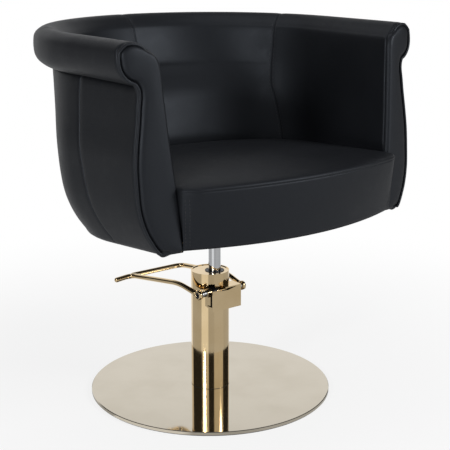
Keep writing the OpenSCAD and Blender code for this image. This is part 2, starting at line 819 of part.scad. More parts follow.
module plate_bolts() {
    color("silver") plate_bolt_places(plate_z) {
        cylinder(d = plate_bolt_d, h = board_top - tee_flange_t - plate_z);
        translate([0, 0, -plate_bolt_head_h])
            cylinder(d = plate_bolt_head_d, h = plate_bolt_head_h, $fn = 6);
    }
}

module tee_nuts() {
    color("gray") plate_bolt_places(board_z) difference() {
        union() {
            cylinder(d = tee_d, h = board_t);
            translate([0, 0, board_t - tee_flange_t]) cylinder(d = tee_flange_d, h = tee_flange_t);
        }
        translate([0, 0, -cut]) cylinder(d = plate_bolt_d, h = board_t + 2 * cut);
    }
}

// Front edge of the cushion at its bottom, and of the board behind it, at a share of half width.
lip = 16;
cushion_half_w = lining_a(tub_z + 2 * lip) - loose_gap;
function front_line(k, v) =
    cushion_corner_y - cushion_bow * (1 - k * k) + cushion_draw * (1 - v);

// One half of the cushion's outline, from the middle of the back to the middle of the front:
// angles round the back, places along the sides, and shares of half width along the front.
back_angles = [5 : 10 : 85];
side_shares = [0.1, 0.35, 0.65, 0.94];
bow_shares = [1, 0.95, 0.84, 0.7, 0.52, 0.32, 0.11];
function side_y(k, z) = turn_y(z) - k * (turn_y(z) - arm_front_y);

// The board's outline seen from above: round back, straight sides, bowed front. It is notched at
// the front corners, where the cushion reaches down.
board_notch_y = side_y(side_shares[3], board_top) + lip / 2;
function board_outline(inset) =
    let (a = board_a - inset, b = board_b - inset,
         end = front_y(a, board_top) + facing_t + end_gap + inset,
         front_w = cushion_half_w - lip - inset)
    concat(
        [[rod_x - front_w, rod_y + board_notch_y + inset],
         [rod_x - cushion_half_w - lay_gap + inset, rod_y + board_notch_y + inset]],
        [for (s = stations(-1, 1)) let (p = u_point(a, b, s, end, board_top)) [p[0], p[1]]],
        [[rod_x + cushion_half_w + lay_gap - inset, rod_y + board_notch_y + inset],
         [rod_x + front_w, rod_y + board_notch_y + inset]],
        [for (k = concat(bow_shares, -1 * [for (i = [len(bow_shares) - 1 : -1 : 0]) bow_shares[i]]))
            [rod_x + k * front_w, rod_y + front_line(k, 0) + lip + inset]]);

module seat_board() {
    color("burlywood") difference() {
        translate([0, 0, board_z]) linear_extrude(board_t) polygon(board_outline(0));
        at_rod(board_z - cut) cylinder(d = hub_d, h = board_t + 2 * cut);
        plate_bolt_places(board_z - cut) {
            cylinder(d = tee_d, h = board_t + 2 * cut);
            translate([0, 0, cut + board_t - tee_flange_t]) cylinder(d = tee_flange_d, h = board_t);
        }
    }
}

module dust_cover() {
    color("black") difference() {
        translate([0, 0, board_z - dust_t]) linear_extrude(dust_t)
            polygon(board_outline(under_lap + cut));
        at_rod(board_z - dust_t - cut) cylinder(d = hub_d, h = dust_t + 2 * cut);
        plate_bolt_places(board_z - dust_t - cut)
            cylinder(d = plate_bolt_d + loose_gap, h = dust_t + 2 * cut);
    }
}

// Faces of the wall's layers: half width, back depth and height of each row, from the bottom up.
function lining_face(out, zs) = [for (z = zs) [lining_a(z) + out, lining_b(z) + out, z]];
function cover_face(zs) = [for (z = zs) [wall_a(z), wall_b(z), z]];
function heights(shares) = [for (k = shares) tub_z + k * wall_h];

// A layer's ring at station s, up its inner face and down its outer one. Padding is drawn in
// by pull at its seams. The outer cover's outside and its bottom edge sink with the tub's tilt.
end_gap = 3 * lay_gap;
function arm_end(f, back) = front_y(f[0], f[2]) + facing_t + end_gap + back;
function layer_ring(inner, outer, s, pull, back, sinks) =
    let (n = len(outer) - 1,
         up = [for (f = inner) u_point(f[0] + pull, f[1] + pull, s, arm_end(f, back), f[2])],
         down = [for (i = [n : -1 : 0]) let (f = outer[i], p = i > 0 ? pull : 0)
            u_point(f[0] - p, f[1] - p, s, arm_end(f, back), f[2])])
    sinks ? concat([sunk(up[0])], [for (i = [1 : len(up) - 1]) up[i]], [for (p = down) sunk(p)])
        : concat(up, down);

module layer(inner, outer, s0, s1, pull = 0, back = 0, sinks = false) {
    within = stations(s0 + seam_width, s1 - seam_width);
    loft([for (s = pull > 0 ? concat(s0, within, s1) : stations(s0, s1))
        layer_ring(inner, outer, s, (s == s0 || s == s1) ? pull : 0, back, sinks)]);
}

// All layers share these rows, so that their facets lie alongside each other.
row_shares = [0.1375, 0.325, 0.54375, 0.7625, 0.8875, 1];
shell_zs = concat(board_top, heights(row_shares));
lining_zs = concat(board_top + lay_gap, heights(row_shares));
outer_zs = heights(concat([0, 0.00625, 0.0125, 0.03125, 0.05], row_shares));
seam_pull = 1.5;

module tub_shell() {
    color("burlywood") layer(lining_face(inner_pad_t, shell_zs),
        lining_face(inner_pad_t + shell_t, shell_zs), -1, 1, 0, post_w + lay_gap);
}

module front_post(side) {
    color("burlywood") loft(turned_if(side > 0, [for (b = [0, post_w])
        layer_ring(lining_face(inner_pad_t, shell_zs), lining_face(inner_pad_t + shell_t, shell_zs),
            side, 0, b, false)]));
}
module front_post_left() { front_post(-1); }

module front_post_right() { front_post(1); }

module inner_panel(s0, s1) {
    color("#2a2a2d") layer(lining_face(0, lining_zs), lining_face(inner_pad_t - 2 * lay_gap, lining_zs),
        s0, s1, seam_pull);
}

module inner_side_left() { inner_panel(-1, -lining_seam_share); }

module inner_back_left() { inner_panel(-lining_seam_share, 0); }

module inner_back_right() { inner_panel(0, lining_seam_share); }

module inner_side_right() { inner_panel(lining_seam_share, 1); }

// The outer cover's inside: it laps under the board, runs round the board's edge and then
// stands against the shell.
under = [board_a - under_lap, board_b - under_lap];
edge = [board_a + 2 * lay_gap, board_b + 2 * lay_gap];
outer_in = concat(
    [[under[0], under[1], tub_z], [under[0], under[1], board_z - lay_gap],
     [edge[0], edge[1], board_z - lay_gap], [edge[0], edge[1], board_top - lay_gap]],
    lining_face(inner_pad_t + shell_t + 2 * lay_gap, concat(board_top, heights(row_shares))));

module outer_panel(s0, s1) {
    color("#222225") layer(outer_in, cover_face(outer_zs), s0, s1, seam_pull, 0, true);
}

module outer_side_left() { outer_panel(-1, -cover_seam_share); }

module outer_back_left() { outer_panel(-cover_seam_share, 0); }

module outer_back_right() { outer_panel(0, cover_seam_share); }

module outer_side_right() { outer_panel(cover_seam_share, 1); }

// A point of the roll's outline at station s. At the back the roll is wider to the outside.
roll_a = wall_a(neck_z) - roll_in;
roll_b = wall_b(neck_z) - roll_in;
function roll_point(o, s) =
    let (a = roll_a + o[0] * roll_r, z = roll_middle_z + o[1] * roll_r,
         b = roll_b + o[0] * roll_r + (roll_behind + roll_in) * (1 + o[0]) / 2)
    u_point(a, b, s, front_y(a, z) + facing_t + lay_gap, z);

module rim_roll() {
    color("#2a2a2d") loft([for (s = stations(-1, 1)) [for (o = roll_outline_shares) roll_point(o, s)]]);
}

// The padded face at the front of an arm: rows of two points, inside and outside, from the
// bottom up and over the end of the roll. Each is half width and height.
facing_out = 3;
facing_zs = heights([0, 0.025, 0.075, 0.1625, 0.275, 0.4, 0.5375, 0.6625, 0.7875, 0.875, 0.95]);
function roll_spot(i) = [roll_a + roll_outline_shares[i][0] * roll_r,
    roll_middle_z + roll_outline_shares[i][1] * roll_r];
facing_rows = concat(
    [for (z = facing_zs) [[lining_a(z), z], [wall_a(z) + facing_out, z]]],
    [for (i = [1 : 7]) [roll_spot(i), roll_spot(16 - i)]]);
// Across a row: how far along it and how deep the padding stands, as shares.
facing_crown_shares = [[0, 0], [0, 0.35], [0.1, 0.8], [0.33, 1], [0.67, 1], [0.9, 0.8],
    [1, 0.35], [1, 0]];

function facing_point(side, spot, deep) =
    sunk([rod_x + side * spot[0], rod_y + front_y(spot[0], spot[1]) + facing_t - deep, spot[1]]);

module facing(side) {
    color("#2a2a2d") loft(turned_if(side > 0, [for (row = facing_rows) [for (c = facing_crown_shares)
        facing_point(side, row[0] + (row[1] - row[0]) * c[0], c[1] * facing_t)]]));
}

module facing_left() { facing(-1); }

module facing_right() { facing(1); }

// Piping along the outer edge of an arm's face, half its width outside it.
module piping(side) {
    r = piping_d / 2;
    n = len(facing_rows) - 1;
    spots = [for (i = [0 : n])
        let (way = facing_rows[min(i + 1, n)][1] - facing_rows[max(i - 1, 0)][1], u = way / norm(way))
        facing_rows[i][1] + [u[1], -u[0]] * (r + 2 * lay_gap)];
    color("#1c1c1e") loft(turned_if(side > 0, [for (i = [0 : n])
        let (way = spots[min(i + 1, n)] - spots[max(i - 1, 0)], u = way / norm(way),
             c = facing_point(side, spots[i], facing_t / 2))
        [for (a = [0 : 360 / piping_sides : 359])
            c + [side * u[1] * r * cos(a), r * sin(a), -u[0] * r * cos(a)]]]));
}

module piping_left() { piping(-1); }

module piping_right() { piping(1); }

// A point of the cushion's side at height share v, seen from the rod: the back and sides follow
// the lining, and the front reaches down over the board's edge.
function cushion_top(y) =
    tub_z + cushion_seam_h
        - cushion_fall * (y - cushion_corner_y) / (tub_back - cushion_corner_y) * 1.2;
function cushion_height(y, v, low) = low + (cushion_top(y) - low) * v;
// The lining's half width, back depth and turn, between its rows as its facets run.
width_rows = [for (z = lining_zs) [z, lining_a(z)]];
depth_rows = [for (z = lining_zs) [z, lining_b(z)]];
turn_rows = [for (z = lining_zs) [z, turn_y(z)]];
function cushion_back(t, v) =
    let (z0 = tub_z + cushion_seam_h, b0 = lookup(z0, depth_rows) * cos(t) + lookup(z0, turn_rows),
         z = cushion_height(b0, v, board_top + lay_gap), a = lookup(z, width_rows) - loose_gap)
    [a * sin(t), lookup(z, turn_rows) + (lookup(z, depth_rows) - loose_gap) * cos(t), z];
function cushion_side(k, v) =
    let (z = cushion_height(side_y(k, neck_z), v, board_top + lay_gap))
    [lookup(z, width_rows) - loose_gap, side_y(k, z), z];
function cushion_front(k, v) =
    let (y = front_line(k, v), z = cushion_height(y, v, tub_z + 2 * run_gap + dust_t))
    [k * (lining_a(z) - 2 * loose_gap), y, z];
function cushion_half(v) = concat(
    [for (t = back_angles) cushion_back(t, v)],
    [for (k = side_shares) cushion_side(k, v)],
    [for (k = bow_shares) cushion_front(k, v)]);

// The hollow under the cushion that takes the board: flat over it, and down in front of it.
function hollow_half(k, lowered) = concat(
    [for (p = cushion_half(0), i = [0]) if (p[1] > arm_front_y && p[2] > board_top)
        [p[0] * k, p[1] * k, board_top + lay_gap]],
    [for (s = bow_shares) [s * (cushion_half_w - lip + lay_gap),
        front_line(s, 0) + lip - lay_gap, lowered ? tub_z + 2 * dust_t : board_top + lay_gap]]);

middle_y = -60 / 355 * tub_half_w;
function drawn(half, k) = [for (p = half) [p[0] * k, middle_y + (p[1] - middle_y) * k, p[2]]];
// A row of the top, drawn in by k, on the falling top and up over it.
function crowned(half, k, up) =
    [for (p = drawn(half, k)) [p[0], p[1], cushion_top(p[1]) + up]];
function whole_ring(half) = concat(
    [for (p = half) [rod_x + p[0], rod_y + p[1], p[2]]],
    [for (i = [len(half) - 1 : -1 : 0]) let (p = half[i]) [rod_x - p[0], rod_y + p[1], p[2]]]);

// How far in and up each row of the cushion's top lies, the rise as a share of its crown
cushion_top_shares = [[0.97, 0.26], [0.91, 0.5], [0.8, 0.72], [0.64, 0.88], [0.44, 0.97],
    [0.22, 1]];

module seat_cushion() {
    seam = cushion_half(1);
    color("#26262a") loft(concat(
        [whole_ring(drawn(hollow_half(1, false), 0.3)), whole_ring(hollow_half(0.975, false)),
         whole_ring(hollow_half(0.985, true)), whole_ring(drawn(cushion_half(0.02), 0.995)),
         whole_ring(cushion_half(0.12)), whole_ring(cushion_half(0.5)),
         whole_ring(cushion_half(0.9)), whole_ring(crowned(seam, 0.992, 0))],
        [for (c = cushion_top_shares) whole_ring(crowned(seam, c[0], c[1] * cushion_crown))]));
}

base_disc();
floor_mat();
foot_bolts();
foot_gasket();
pump_flange();
pump_sleeve();
pump_cylinder();
pump_head();
rod_bush();
rod_seal();
gland_nut();
shaft_bushes();
plunger_barrel();
check_valve();
lever_cover();
cover_screws();
plunger();
plunger_spring();
lever_shaft();
pump_finger();
lever_arm_near();
lever_arm_far();
arm_screws();
shaft_collars();
piston_rod();
piston();
piston_seal();
piston_nut();
thrust_washer();
retaining_washer();
retaining_screw();
seat_hub();
mounting_plate();
plate_bolts();
tee_nuts();
dust_cover();
seat_board();
tub_shell();
front_post_left();
front_post_right();
inner_side_left();
inner_back_left();
inner_back_right();
inner_side_right();
outer_side_left();
outer_back_left();
outer_back_right();
outer_side_right();
rim_roll();
facing_left();
facing_right();
piping_left();
piping_right();
seat_cushion();
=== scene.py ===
"""Hairdressing chair: a leather tub seat on an oil pump and a round mirror-finished foot."""
import math

import bmesh
import bpy
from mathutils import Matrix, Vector
from mathutils.kdtree import KDTree


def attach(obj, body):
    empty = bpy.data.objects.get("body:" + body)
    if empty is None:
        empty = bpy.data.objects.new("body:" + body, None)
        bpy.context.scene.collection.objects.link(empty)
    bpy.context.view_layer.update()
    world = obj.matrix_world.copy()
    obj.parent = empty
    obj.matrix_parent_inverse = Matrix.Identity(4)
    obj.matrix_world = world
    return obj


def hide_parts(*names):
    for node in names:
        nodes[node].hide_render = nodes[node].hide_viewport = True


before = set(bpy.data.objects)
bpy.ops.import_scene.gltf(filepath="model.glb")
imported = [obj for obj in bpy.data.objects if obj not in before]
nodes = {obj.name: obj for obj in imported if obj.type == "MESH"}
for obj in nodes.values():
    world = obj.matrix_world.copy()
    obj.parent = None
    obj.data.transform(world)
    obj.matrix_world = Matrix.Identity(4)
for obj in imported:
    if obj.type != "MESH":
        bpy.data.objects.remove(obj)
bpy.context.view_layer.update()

# The camera stands in front of the chair and to the left of it, a little above the rim, as in the
# photograph. Its frame is square.
LOOKS_DOWN, LOOKS_RIGHT = 14.67, 37.78
camera = bpy.data.objects.new("camera", bpy.data.cameras.new("camera"))
bpy.context.scene.collection.objects.link(camera)
camera.location = (-1.5106, -2.0046, 1.0458)
camera.rotation_euler = (math.radians(90 - LOOKS_DOWN), 0, -math.radians(LOOKS_RIGHT))
camera.data.lens = 92.19
camera.data.sensor_width = 36
camera.data.clip_end = 60
bpy.context.scene.camera = camera
bpy.context.scene.view_settings.view_transform = "Standard"


# The chair stands on a plain pale floor in a white room. The camera sees both as plain white, with
# the chair's shadow kept on the floor. The light is soft: a broad lamp from the front on the
# right, one on the left, a weak one overhead, and the room itself.
class Flow:
    """A value, colour or vector on its way through a finish's nodes."""

    def __init__(self, finish, socket):
        self.finish, self.socket = finish, socket

    def output(self, key):
        """Another output of the node that this one comes from."""
        return Flow(self.finish, self.socket.node.outputs[key])

    def maths(self, operation, a, b):
        return self.finish.node("ShaderNodeMath", {"operation": operation}, {0: a, 1: b})

    def __add__(self, other):
        return self.maths("ADD", self, other)

    def __radd__(self, other):
        return self.maths("ADD", other, self)

    def __sub__(self, other):
        return self.maths("SUBTRACT", self, other)

    def __rsub__(self, other):
        return self.maths("SUBTRACT", other, self)

    def __mul__(self, other):
        return self.maths("MULTIPLY", self, other)

    def __truediv__(self, other):
        return self.maths("DIVIDE", self, other)


class Finish:
    """The nodes of one finish: a material, or the world around the chair."""

    def __init__(self, name, world=False, **fixed):
        self.owner = (bpy.data.worlds if world else bpy.data.materials).new(name)
        self.owner.use_nodes = True
        self.tree = self.owner.node_tree
        self.shader = self.tree.nodes["Background" if world else "Principled BSDF"]
        for socket, value in fixed.items():
            self.shader.inputs[socket.replace("_", " ")].default_value = value

    def node(self, kind, settings=None, values=None, out=0):
        """A new node with its settings and inputs, as the flow of one of its outputs."""
        made = self.tree.nodes.new(kind)
        for key, value in (settings or {}).items():
            if key == "stops":
                ramp = made.color_ramp.elements
                while len(ramp) < len(value):
                    ramp.new(0.5)
                for stop, (place, colour) in zip(ramp, value):
                    stop.position, stop.color = place, (*colour, 1)
            else:
                setattr(made, key, value)
        for key, value in (values or {}).items():
            self.feed(made.inputs[key], value)
        return Flow(self, made.outputs[out])

    def feed(self, socket, value):
        if isinstance(value, Flow):
            self.tree.links.new(value.socket, socket)
        else:
            socket.default_value = value

    def put(self, socket, value):
        self.feed(self.shader.inputs[socket], value)

    def place(self, stretch=(1, 1, 1)):
        where = self.node("ShaderNodeTexCoord", out="Object")
        return self.node("ShaderNodeVectorMath", {"operation": "MULTIPLY"}, {0: where, 1: stretch})

    def noise(self, scale, detail=3.0, stretch=(1, 1, 1), rough=0.5):
        return self.node("ShaderNodeTexNoise", None, {"Vector": self.place(stretch),
            "Scale": scale, "Detail": detail, "Roughness": rough})

    def between(self, value, low, high, to_low=0.0, to_high=1.0):
        return self.node("ShaderNodeMapRange", {"interpolation_type": "SMOOTHSTEP"},
            {"Value": value, "From Min": low, "From Max": high,
            "To Min": to_low, "To Max": to_high})

    def blend(self, mask, a, b):
        return self.node("ShaderNodeMix", {"data_type": "RGBA"},
            {"Factor": mask, 6: a, 7: b}, out=2)

    def bump(self, height, distance, strength=1.0):
        return self.node("ShaderNodeBump", None,
            {"Height": height, "Distance": distance, "Strength": strength})


def room_bands(finish, where, light, grey, dark):
    """Panels round the room, which only polished metal shows, as shares of a turn from the left:
    light at the left and behind the chair, grey in front of it, and dark gaps between them."""
    x = finish.node("ShaderNodeSeparateXYZ", None, {0: where})
    turn = x.maths("ARCTAN2", x.output(1), x) / (2 * math.pi) + 0.5
    places = [(0.0, dark), (0.008, light), (0.111, light), (0.125, dark), (0.208, dark),
        (0.217, grey), (0.378, grey), (0.386, dark), (0.547, dark), (0.56, light), (0.78, light),
        (0.80, dark), (0.992, dark)]
    stops = [(at, (tone, tone, tone)) for at, tone in places]
    return finish.node("ShaderNodeValToRGB", {"stops": stops}, {"Fac": turn})


WHITE, ROOM_GLOW, CEILING = (1, 1, 1, 1), (0.36, 0.36, 0.37, 1), (0.08, 0.08, 0.085, 1)
CEILING_FROM, CEILING_FULL = 0.36, 0.66
room = Finish("room", world=True)
rays = room.node("ShaderNodeLightPath")
seen = room.node("ShaderNodeTexCoord", out="Generated")
height = room.node("ShaderNodeSeparateXYZ", None, {0: seen}, out=2)
bands = room_bands(room, seen, 1.0, 0.85, 0.035)
bands = room.blend(room.between(height, CEILING_FROM, CEILING_FULL), bands, CEILING)
shine = room.blend(rays.output("Is Glossy Ray"), ROOM_GLOW, bands)
room.put("Color", room.blend(rays, shine, WHITE))
room.put("Strength", 1.0)
bpy.context.scene.world = room.owner

FLOOR_HALF, SHADOW_NEAR, SHADOW_FAR, NEAR_GLOW = 9, 0.5, 1.5, 0.8
floor_finish = Finish("floor", Roughness=0.85, Specular_IOR_Level=0.2)
floor_tone = floor_finish.between(floor_finish.noise(2.0), 0.3, 0.7, 0.86, 0.9)
floor_finish.put("Base Color", floor_finish.node("ShaderNodeCombineColor", None,
    {0: floor_tone, 1: floor_tone, 2: floor_tone}))
rays = floor_finish.node("ShaderNodeLightPath")
glossy = rays.output("Is Glossy Ray")
glow = floor_finish.node("ShaderNodeEmission", None, {"Color": floor_finish.blend(
    glossy, WHITE, room_bands(floor_finish, floor_finish.place(), 0.95, 0.55, 0.5))})
far_off = floor_finish.node("ShaderNodeVectorMath", {"operation": "LENGTH"},
    {0: floor_finish.place()}, out=1)
share = rays * floor_finish.between(far_off, SHADOW_NEAR, SHADOW_FAR, NEAR_GLOW, 1.0) + glossy
floor_finish.feed(floor_finish.tree.nodes["Material Output"].inputs[0],
    floor_finish.node("ShaderNodeMixShader", None,
        {0: share, 1: Flow(floor_finish, floor_finish.shader.outputs[0]), 2: glow}))
floor_mesh = bpy.data.meshes.new("floor")
floor_mesh.from_pydata([(x * FLOOR_HALF, y * FLOOR_HALF, 0)
    for x, y in ((-1, -1), (1, -1), (1, 1), (-1, 1))], [], [(0, 1, 2, 3)])
floor_mesh.materials.append(floor_finish.owner)
floor = bpy.data.objects.new("floor", floor_mesh)
bpy.context.scene.collection.objects.link(floor)

LAMPS_AIM = Vector((0, 0, 0.6))
for name, spot, size, power in [
        ("front_lamp", (1.5, -2.6, 2.1), 1.3, 50),
        ("left_lamp", (-3.6, -1.2, 1.7), 0.7, 40),
        ("top_lamp", (-0.3, 0.5, 3.0), 2.0, 12)]:
    lamp = bpy.data.lights.new(name, "AREA")
    lamp.shape, lamp.size, lamp.energy = "DISK", size, power
    lamp_object = bpy.data.objects.new(name, lamp)
    lamp_object.location = spot
    lamp_object.rotation_euler = (LAMPS_AIM - Vector(spot)).to_track_quat("-Z", "Y").to_euler()
    bpy.context.scene.collection.objects.link(lamp_object)


# The foot is a round steel plate with a champagne mirror plating, over a thin black rubber mat.
# Its bolts come up from below and are never seen.
def finish_nodes(finish, *names):
    """A carried-over CAD node takes the finish in its material slots."""
    for name in names:
        for slot in nodes[name].material_slots:
            slot.material = finish.owner


MIRROR, MIRROR_HAZY = (0.60, 0.545, 0.45, 1), (0.56, 0.505, 0.41, 1)
plate_finish = Finish("champagne_mirror", Metallic=1.0)
haze = plate_finish.between(plate_finish.noise(9.0, 5.0), 0.35, 0.75)
smudge = plate_finish.between(plate_finish.noise(38.0, 4.0, (1, 1, 0.2)), 0.5, 0.8)
plate_finish.put("Base Color", plate_finish.blend(haze, MIRROR, MIRROR_HAZY))
plate_finish.put("Roughness", 0.045 + haze * 0.02 + smudge * 0.03)
plate_finish.put("Normal", plate_finish.bump(plate_finish.noise(6.0, 1.0), 0.0004, 0.3))
finish_nodes(plate_finish, "base_disc")

RUBBER, RUBBER_DUSTY = (0.018, 0.018, 0.018, 1), (0.05, 0.048, 0.045, 1)
rubber_finish = Finish("black_rubber", Specular_IOR_Level=0.3)
dust = rubber_finish.between(rubber_finish.noise(90.0, 4.0), 0.45, 0.8)
rubber_finish.put("Base Color", rubber_finish.blend(dust, RUBBER, RUBBER_DUSTY))
rubber_finish.put("Roughness", 0.62 + dust * 0.2)
rubber_finish.put("Normal", rubber_finish.bump(rubber_finish.noise(1400.0, 2.0), 0.0001, 0.5))
finish_nodes(rubber_finish, "floor_mat", "foot_gasket", "rod_seal", "piston_seal")

# The column's sleeve, the cast pump head, the lever's cover and the collars on its shaft share one
# champagne gold plating, polished bright, with faint clouds and upright polishing streaks.
GOLD, GOLD_CLOUDY = (0.74, 0.575, 0.345, 1), (0.69, 0.525, 0.30, 1)
gold_finish = Finish("champagne_gold", Metallic=1.0)
cloud = gold_finish.between(gold_finish.noise(14.0, 4.0), 0.35, 0.7)
streak = gold_finish.between(gold_finish.noise(220.0, 3.0, (1, 1, 0.04)), 0.45, 0.75)
gold_finish.put("Base Color", gold_finish.blend(cloud, GOLD, GOLD_CLOUDY))
gold_finish.put("Roughness", 0.07 + cloud * 0.03 + streak * 0.03)
gold_finish.put("Normal",
    gold_finish.bump(gold_finish.noise(320.0, 2.0, (1, 1, 0.1)), 0.00005, 0.25))
finish_nodes(gold_finish, "pump_sleeve", "pump_head", "lever_cover", "shaft_collars")

# The lifting rod is steel, hard chromed and ground to slide in the pump's bush and seal. Grinding
# leaves fine rings round it.
CHROME_DARK, CHROME_LIGHT = (0.60, 0.61, 0.63, 1), (0.70, 0.71, 0.72, 1)
chrome_finish = Finish("hard_chrome", Metallic=1.0)
ground = chrome_finish.noise(700.0, 2.0, (0.02, 0.02, 1))
chrome_finish.put("Base Color", chrome_finish.blend(ground, CHROME_DARK, CHROME_LIGHT))
chrome_finish.put("Roughness", 0.06 + ground * 0.06)
chrome_finish.put("Normal", chrome_finish.bump(ground, 0.00003, 0.3))
finish_nodes(chrome_finish, "piston_rod")

# Plain turned steel: the pump's flange and tube inside the sleeve, its piston and plunger with the
# spring, the lever's shaft, and the nuts and bolts of the seat's plate.
STEEL_DARK, STEEL_LIGHT = (0.42, 0.43, 0.44, 1), (0.56, 0.57, 0.58, 1)
steel_finish = Finish("machined_steel", Metallic=1.0)
turned = steel_finish.noise(900.0, 2.0, (0.05, 0.05, 1))
steel_finish.put("Base Color", steel_finish.blend(turned, STEEL_DARK, STEEL_LIGHT))
steel_finish.put("Roughness", 0.24 + turned * 0.14)
steel_finish.put("Normal", steel_finish.bump(turned, 0.00005, 0.4))
finish_nodes(steel_finish, "pump_flange", "pump_cylinder", "plunger_barrel", "plunger",
    "plunger_spring", "lever_shaft", "piston", "tee_nuts", "plate_bolts")

# Blackened steel: the foot's bolts, the gland nut, the screws and nuts of the pump, the finger that
# presses the plunger, and the hub and plate that carry the seat.
BLACKENED, BLACK_RUBBED = (0.03, 0.03, 0.033, 1), (0.09, 0.088, 0.085, 1)
black_steel_finish = Finish("blackened_steel", Metallic=0.8)
rubbed = black_steel_finish.between(black_steel_finish.noise(60.0, 5.0), 0.5, 0.8)
black_steel_finish.put("Base Color", black_steel_finish.blend(rubbed, BLACKENED, BLACK_RUBBED))
black_steel_finish.put("Roughness", 0.34 + rubbed * 0.16)
black_steel_finish.put("Normal",
    black_steel_finish.bump(black_steel_finish.noise(800.0), 0.00006, 0.5))
finish_nodes(black_steel_finish, "foot_bolts", "gland_nut", "cover_screws", "pump_finger",
    "arm_screws", "piston_nut", "retaining_washer", "retaining_screw", "seat_hub", "mounting_plate")

# Oiled bronze, pressed into the pump head: the bushes that the rod and the lever's shaft turn in.
# The check valve and the thrust washer under the seat's hub are of the same metal.
BRONZE, BRONZE_OILED = (0.52, 0.36, 0.17, 1), (0.36, 0.24, 0.11, 1)
bronze_finish = Finish("oiled_bronze", Metallic=1.0)
oil = bronze_finish.between(bronze_finish.noise(70.0, 4.0), 0.4, 0.7)
bronze_finish.put("Base Color", bronze_finish.blend(oil, BRONZE, BRONZE_OILED))
bronze_finish.put("Roughness", 0.28 + oil * 0.14)
bronze_finish.put("Normal", bronze_finish.bump(bronze_finish.noise(700.0), 0.00005, 0.4))
finish_nodes(bronze_finish, "rod_bush", "shaft_bushes", "check_valve", "thrust_washer")

# The tub's frame is raw birch plywood, glued and screwed: the bent shell, the two posts at the
# front of the arms and the board under the seat.
BIRCH_LIGHT, BIRCH_DARK = (0.62, 0.45, 0.26, 1), (0.40, 0.26, 0.13, 1)
plywood_finish = Finish("birch_plywood", Specular_IOR_Level=0.35)
grain = plywood_finish.noise(26.0, 6.0, (6, 6, 0.5), 0.6)
plies = plywood_finish.node("ShaderNodeTexWave", {"wave_type": "BANDS", "bands_direction": "Z"},
    {"Vector": plywood_finish.place(), "Scale": 110.0, "Distortion": 1.2, "Detail": 2.0}, out=1)
plywood_finish.put("Base Color", plywood_finish.blend(grain * 0.7 + plies * 0.25,
    BIRCH_LIGHT, BIRCH_DARK))
plywood_finish.put("Roughness", 0.55 + grain * 0.2)
plywood_finish.put("Normal", plywood_finish.bump(grain, 0.0003, 0.4))
finish_nodes(plywood_finish, "seat_board", "tub_shell", "front_post_left", "front_post_right")

# A thin black woven cloth is stapled under the board, to keep dust out of the tub. Its threads
# cross at right angles.
CLOTH_GAP_SHADE, CLOTH_THREAD, THREADS = (0.006, 0.006, 0.006, 1), (0.03, 0.03, 0.032, 1), 420.0
cloth_finish = Finish("dust_cloth", Specular_IOR_Level=0.2, Sheen_Weight=0.1)
warp, weft = (cloth_finish.node("ShaderNodeTexWave", {"bands_direction": way},
    {"Vector": cloth_finish.place(), "Scale": THREADS}, out=1) for way in "XY")
threads = warp * weft
# Painted shade: the gaps between the threads are painted near black, darker than the threads where
# they cross.
cloth_finish.put("Base Color", cloth_finish.blend(threads, CLOTH_GAP_SHADE, CLOTH_THREAD))
cloth_finish.put("Roughness", 0.85 + threads * 0.1)
cloth_finish.put("Normal", cloth_finish.bump(threads, 0.0002, 0.6))
finish_nodes(cloth_finish, "dust_cover")


# The foot lever: two arms of bent round bar and the foot bar between them, welded to eyes on the
# ends of the shaft and plated like the column. The near arm ends in a free tip, the far one runs
# on into the foot bar.
def closed_skin(rings):
    """Faces of a closed form through rings of equally many points, with a flat end at each."""
    k = len(rings[0])
    faces = [(j * k + i, j * k + (i + 1) % k, (j + 1) * k + (i + 1) % k, (j + 1) * k + i)
        for j in range(len(rings) - 1) for i in range(k)]
    return faces + [tuple(range(k - 1, -1, -1)), tuple((len(rings) - 1) * k + i for i in range(k))]


def make(name, points, faces, finish, replaced=(), body="seat"):
    """A piece of the given mesh, smooth, riding on its body in place of the replaced nodes."""
    mesh = bpy.data.meshes.new(name)
    mesh.from_pydata([tuple(p) for p in points], [], faces)
    mesh.materials.append(finish.owner)
    mesh.polygons.foreach_set("use_smooth", [True] * len(mesh.polygons))
    piece = bpy.data.objects.new(name, mesh)
    bpy.context.scene.collection.objects.link(piece)
    skin = bmesh.new()
    skin.from_mesh(mesh)
    bmesh.ops.recalc_face_normals(skin, faces=skin.faces)
    skin.to_mesh(mesh)
    skin.free()
    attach(piece, body)
    if replaced:
        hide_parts(*replaced)
    return piece


def end_share(i, count):
    """The share of a bar's radius near its ends, which are rounded."""
    end = min(i, count - 1 - i)
    return (0.3, 0.75, 0.95)[end] if end < 3 else 1.0


def tube(name, path, radius, finish, replaced, sides=12, body="seat", more=()):
    """A round bar or cord along a path, with rounded ends; more holds further closed forms."""
    rings = []
    turns = [2 * math.pi * k / sides for k in range(sides)]
    for i, p in enumerate(path):
        way = (path[min(i + 1, len(path) - 1)] - path[max(i - 1, 0)]).normalized()
        u = way.orthogonal().normalized() if i == 0 else (u - way * u.dot(way)).normalized()
        w = way.cross(u)
        rings.append([p + (u * math.cos(t) + w * math.sin(t)) * radius * end_share(i, len(path))
            for t in turns])
    points, faces = [], []
    for form in [rings] + list(more):
        faces += [tuple(len(points) + i for i in face) for face in closed_skin(form)]
        points += [q for ring in form for q in ring]
    return make(name, points, faces, finish, replaced, body)


BAR_R, BEND_R, BEND_STEPS = 0.006, 0.024, 14
TIP_STEPS = (0, 1.2, 3, 6)
SHAFT_SPOT, EYE_X = (-0.040, 0.245), 0.061
EYE_HALF, EYE_OUTER, EYE_INNER, EYE_EDGE = 0.0045, 0.0105, 0.00715, 0.0012


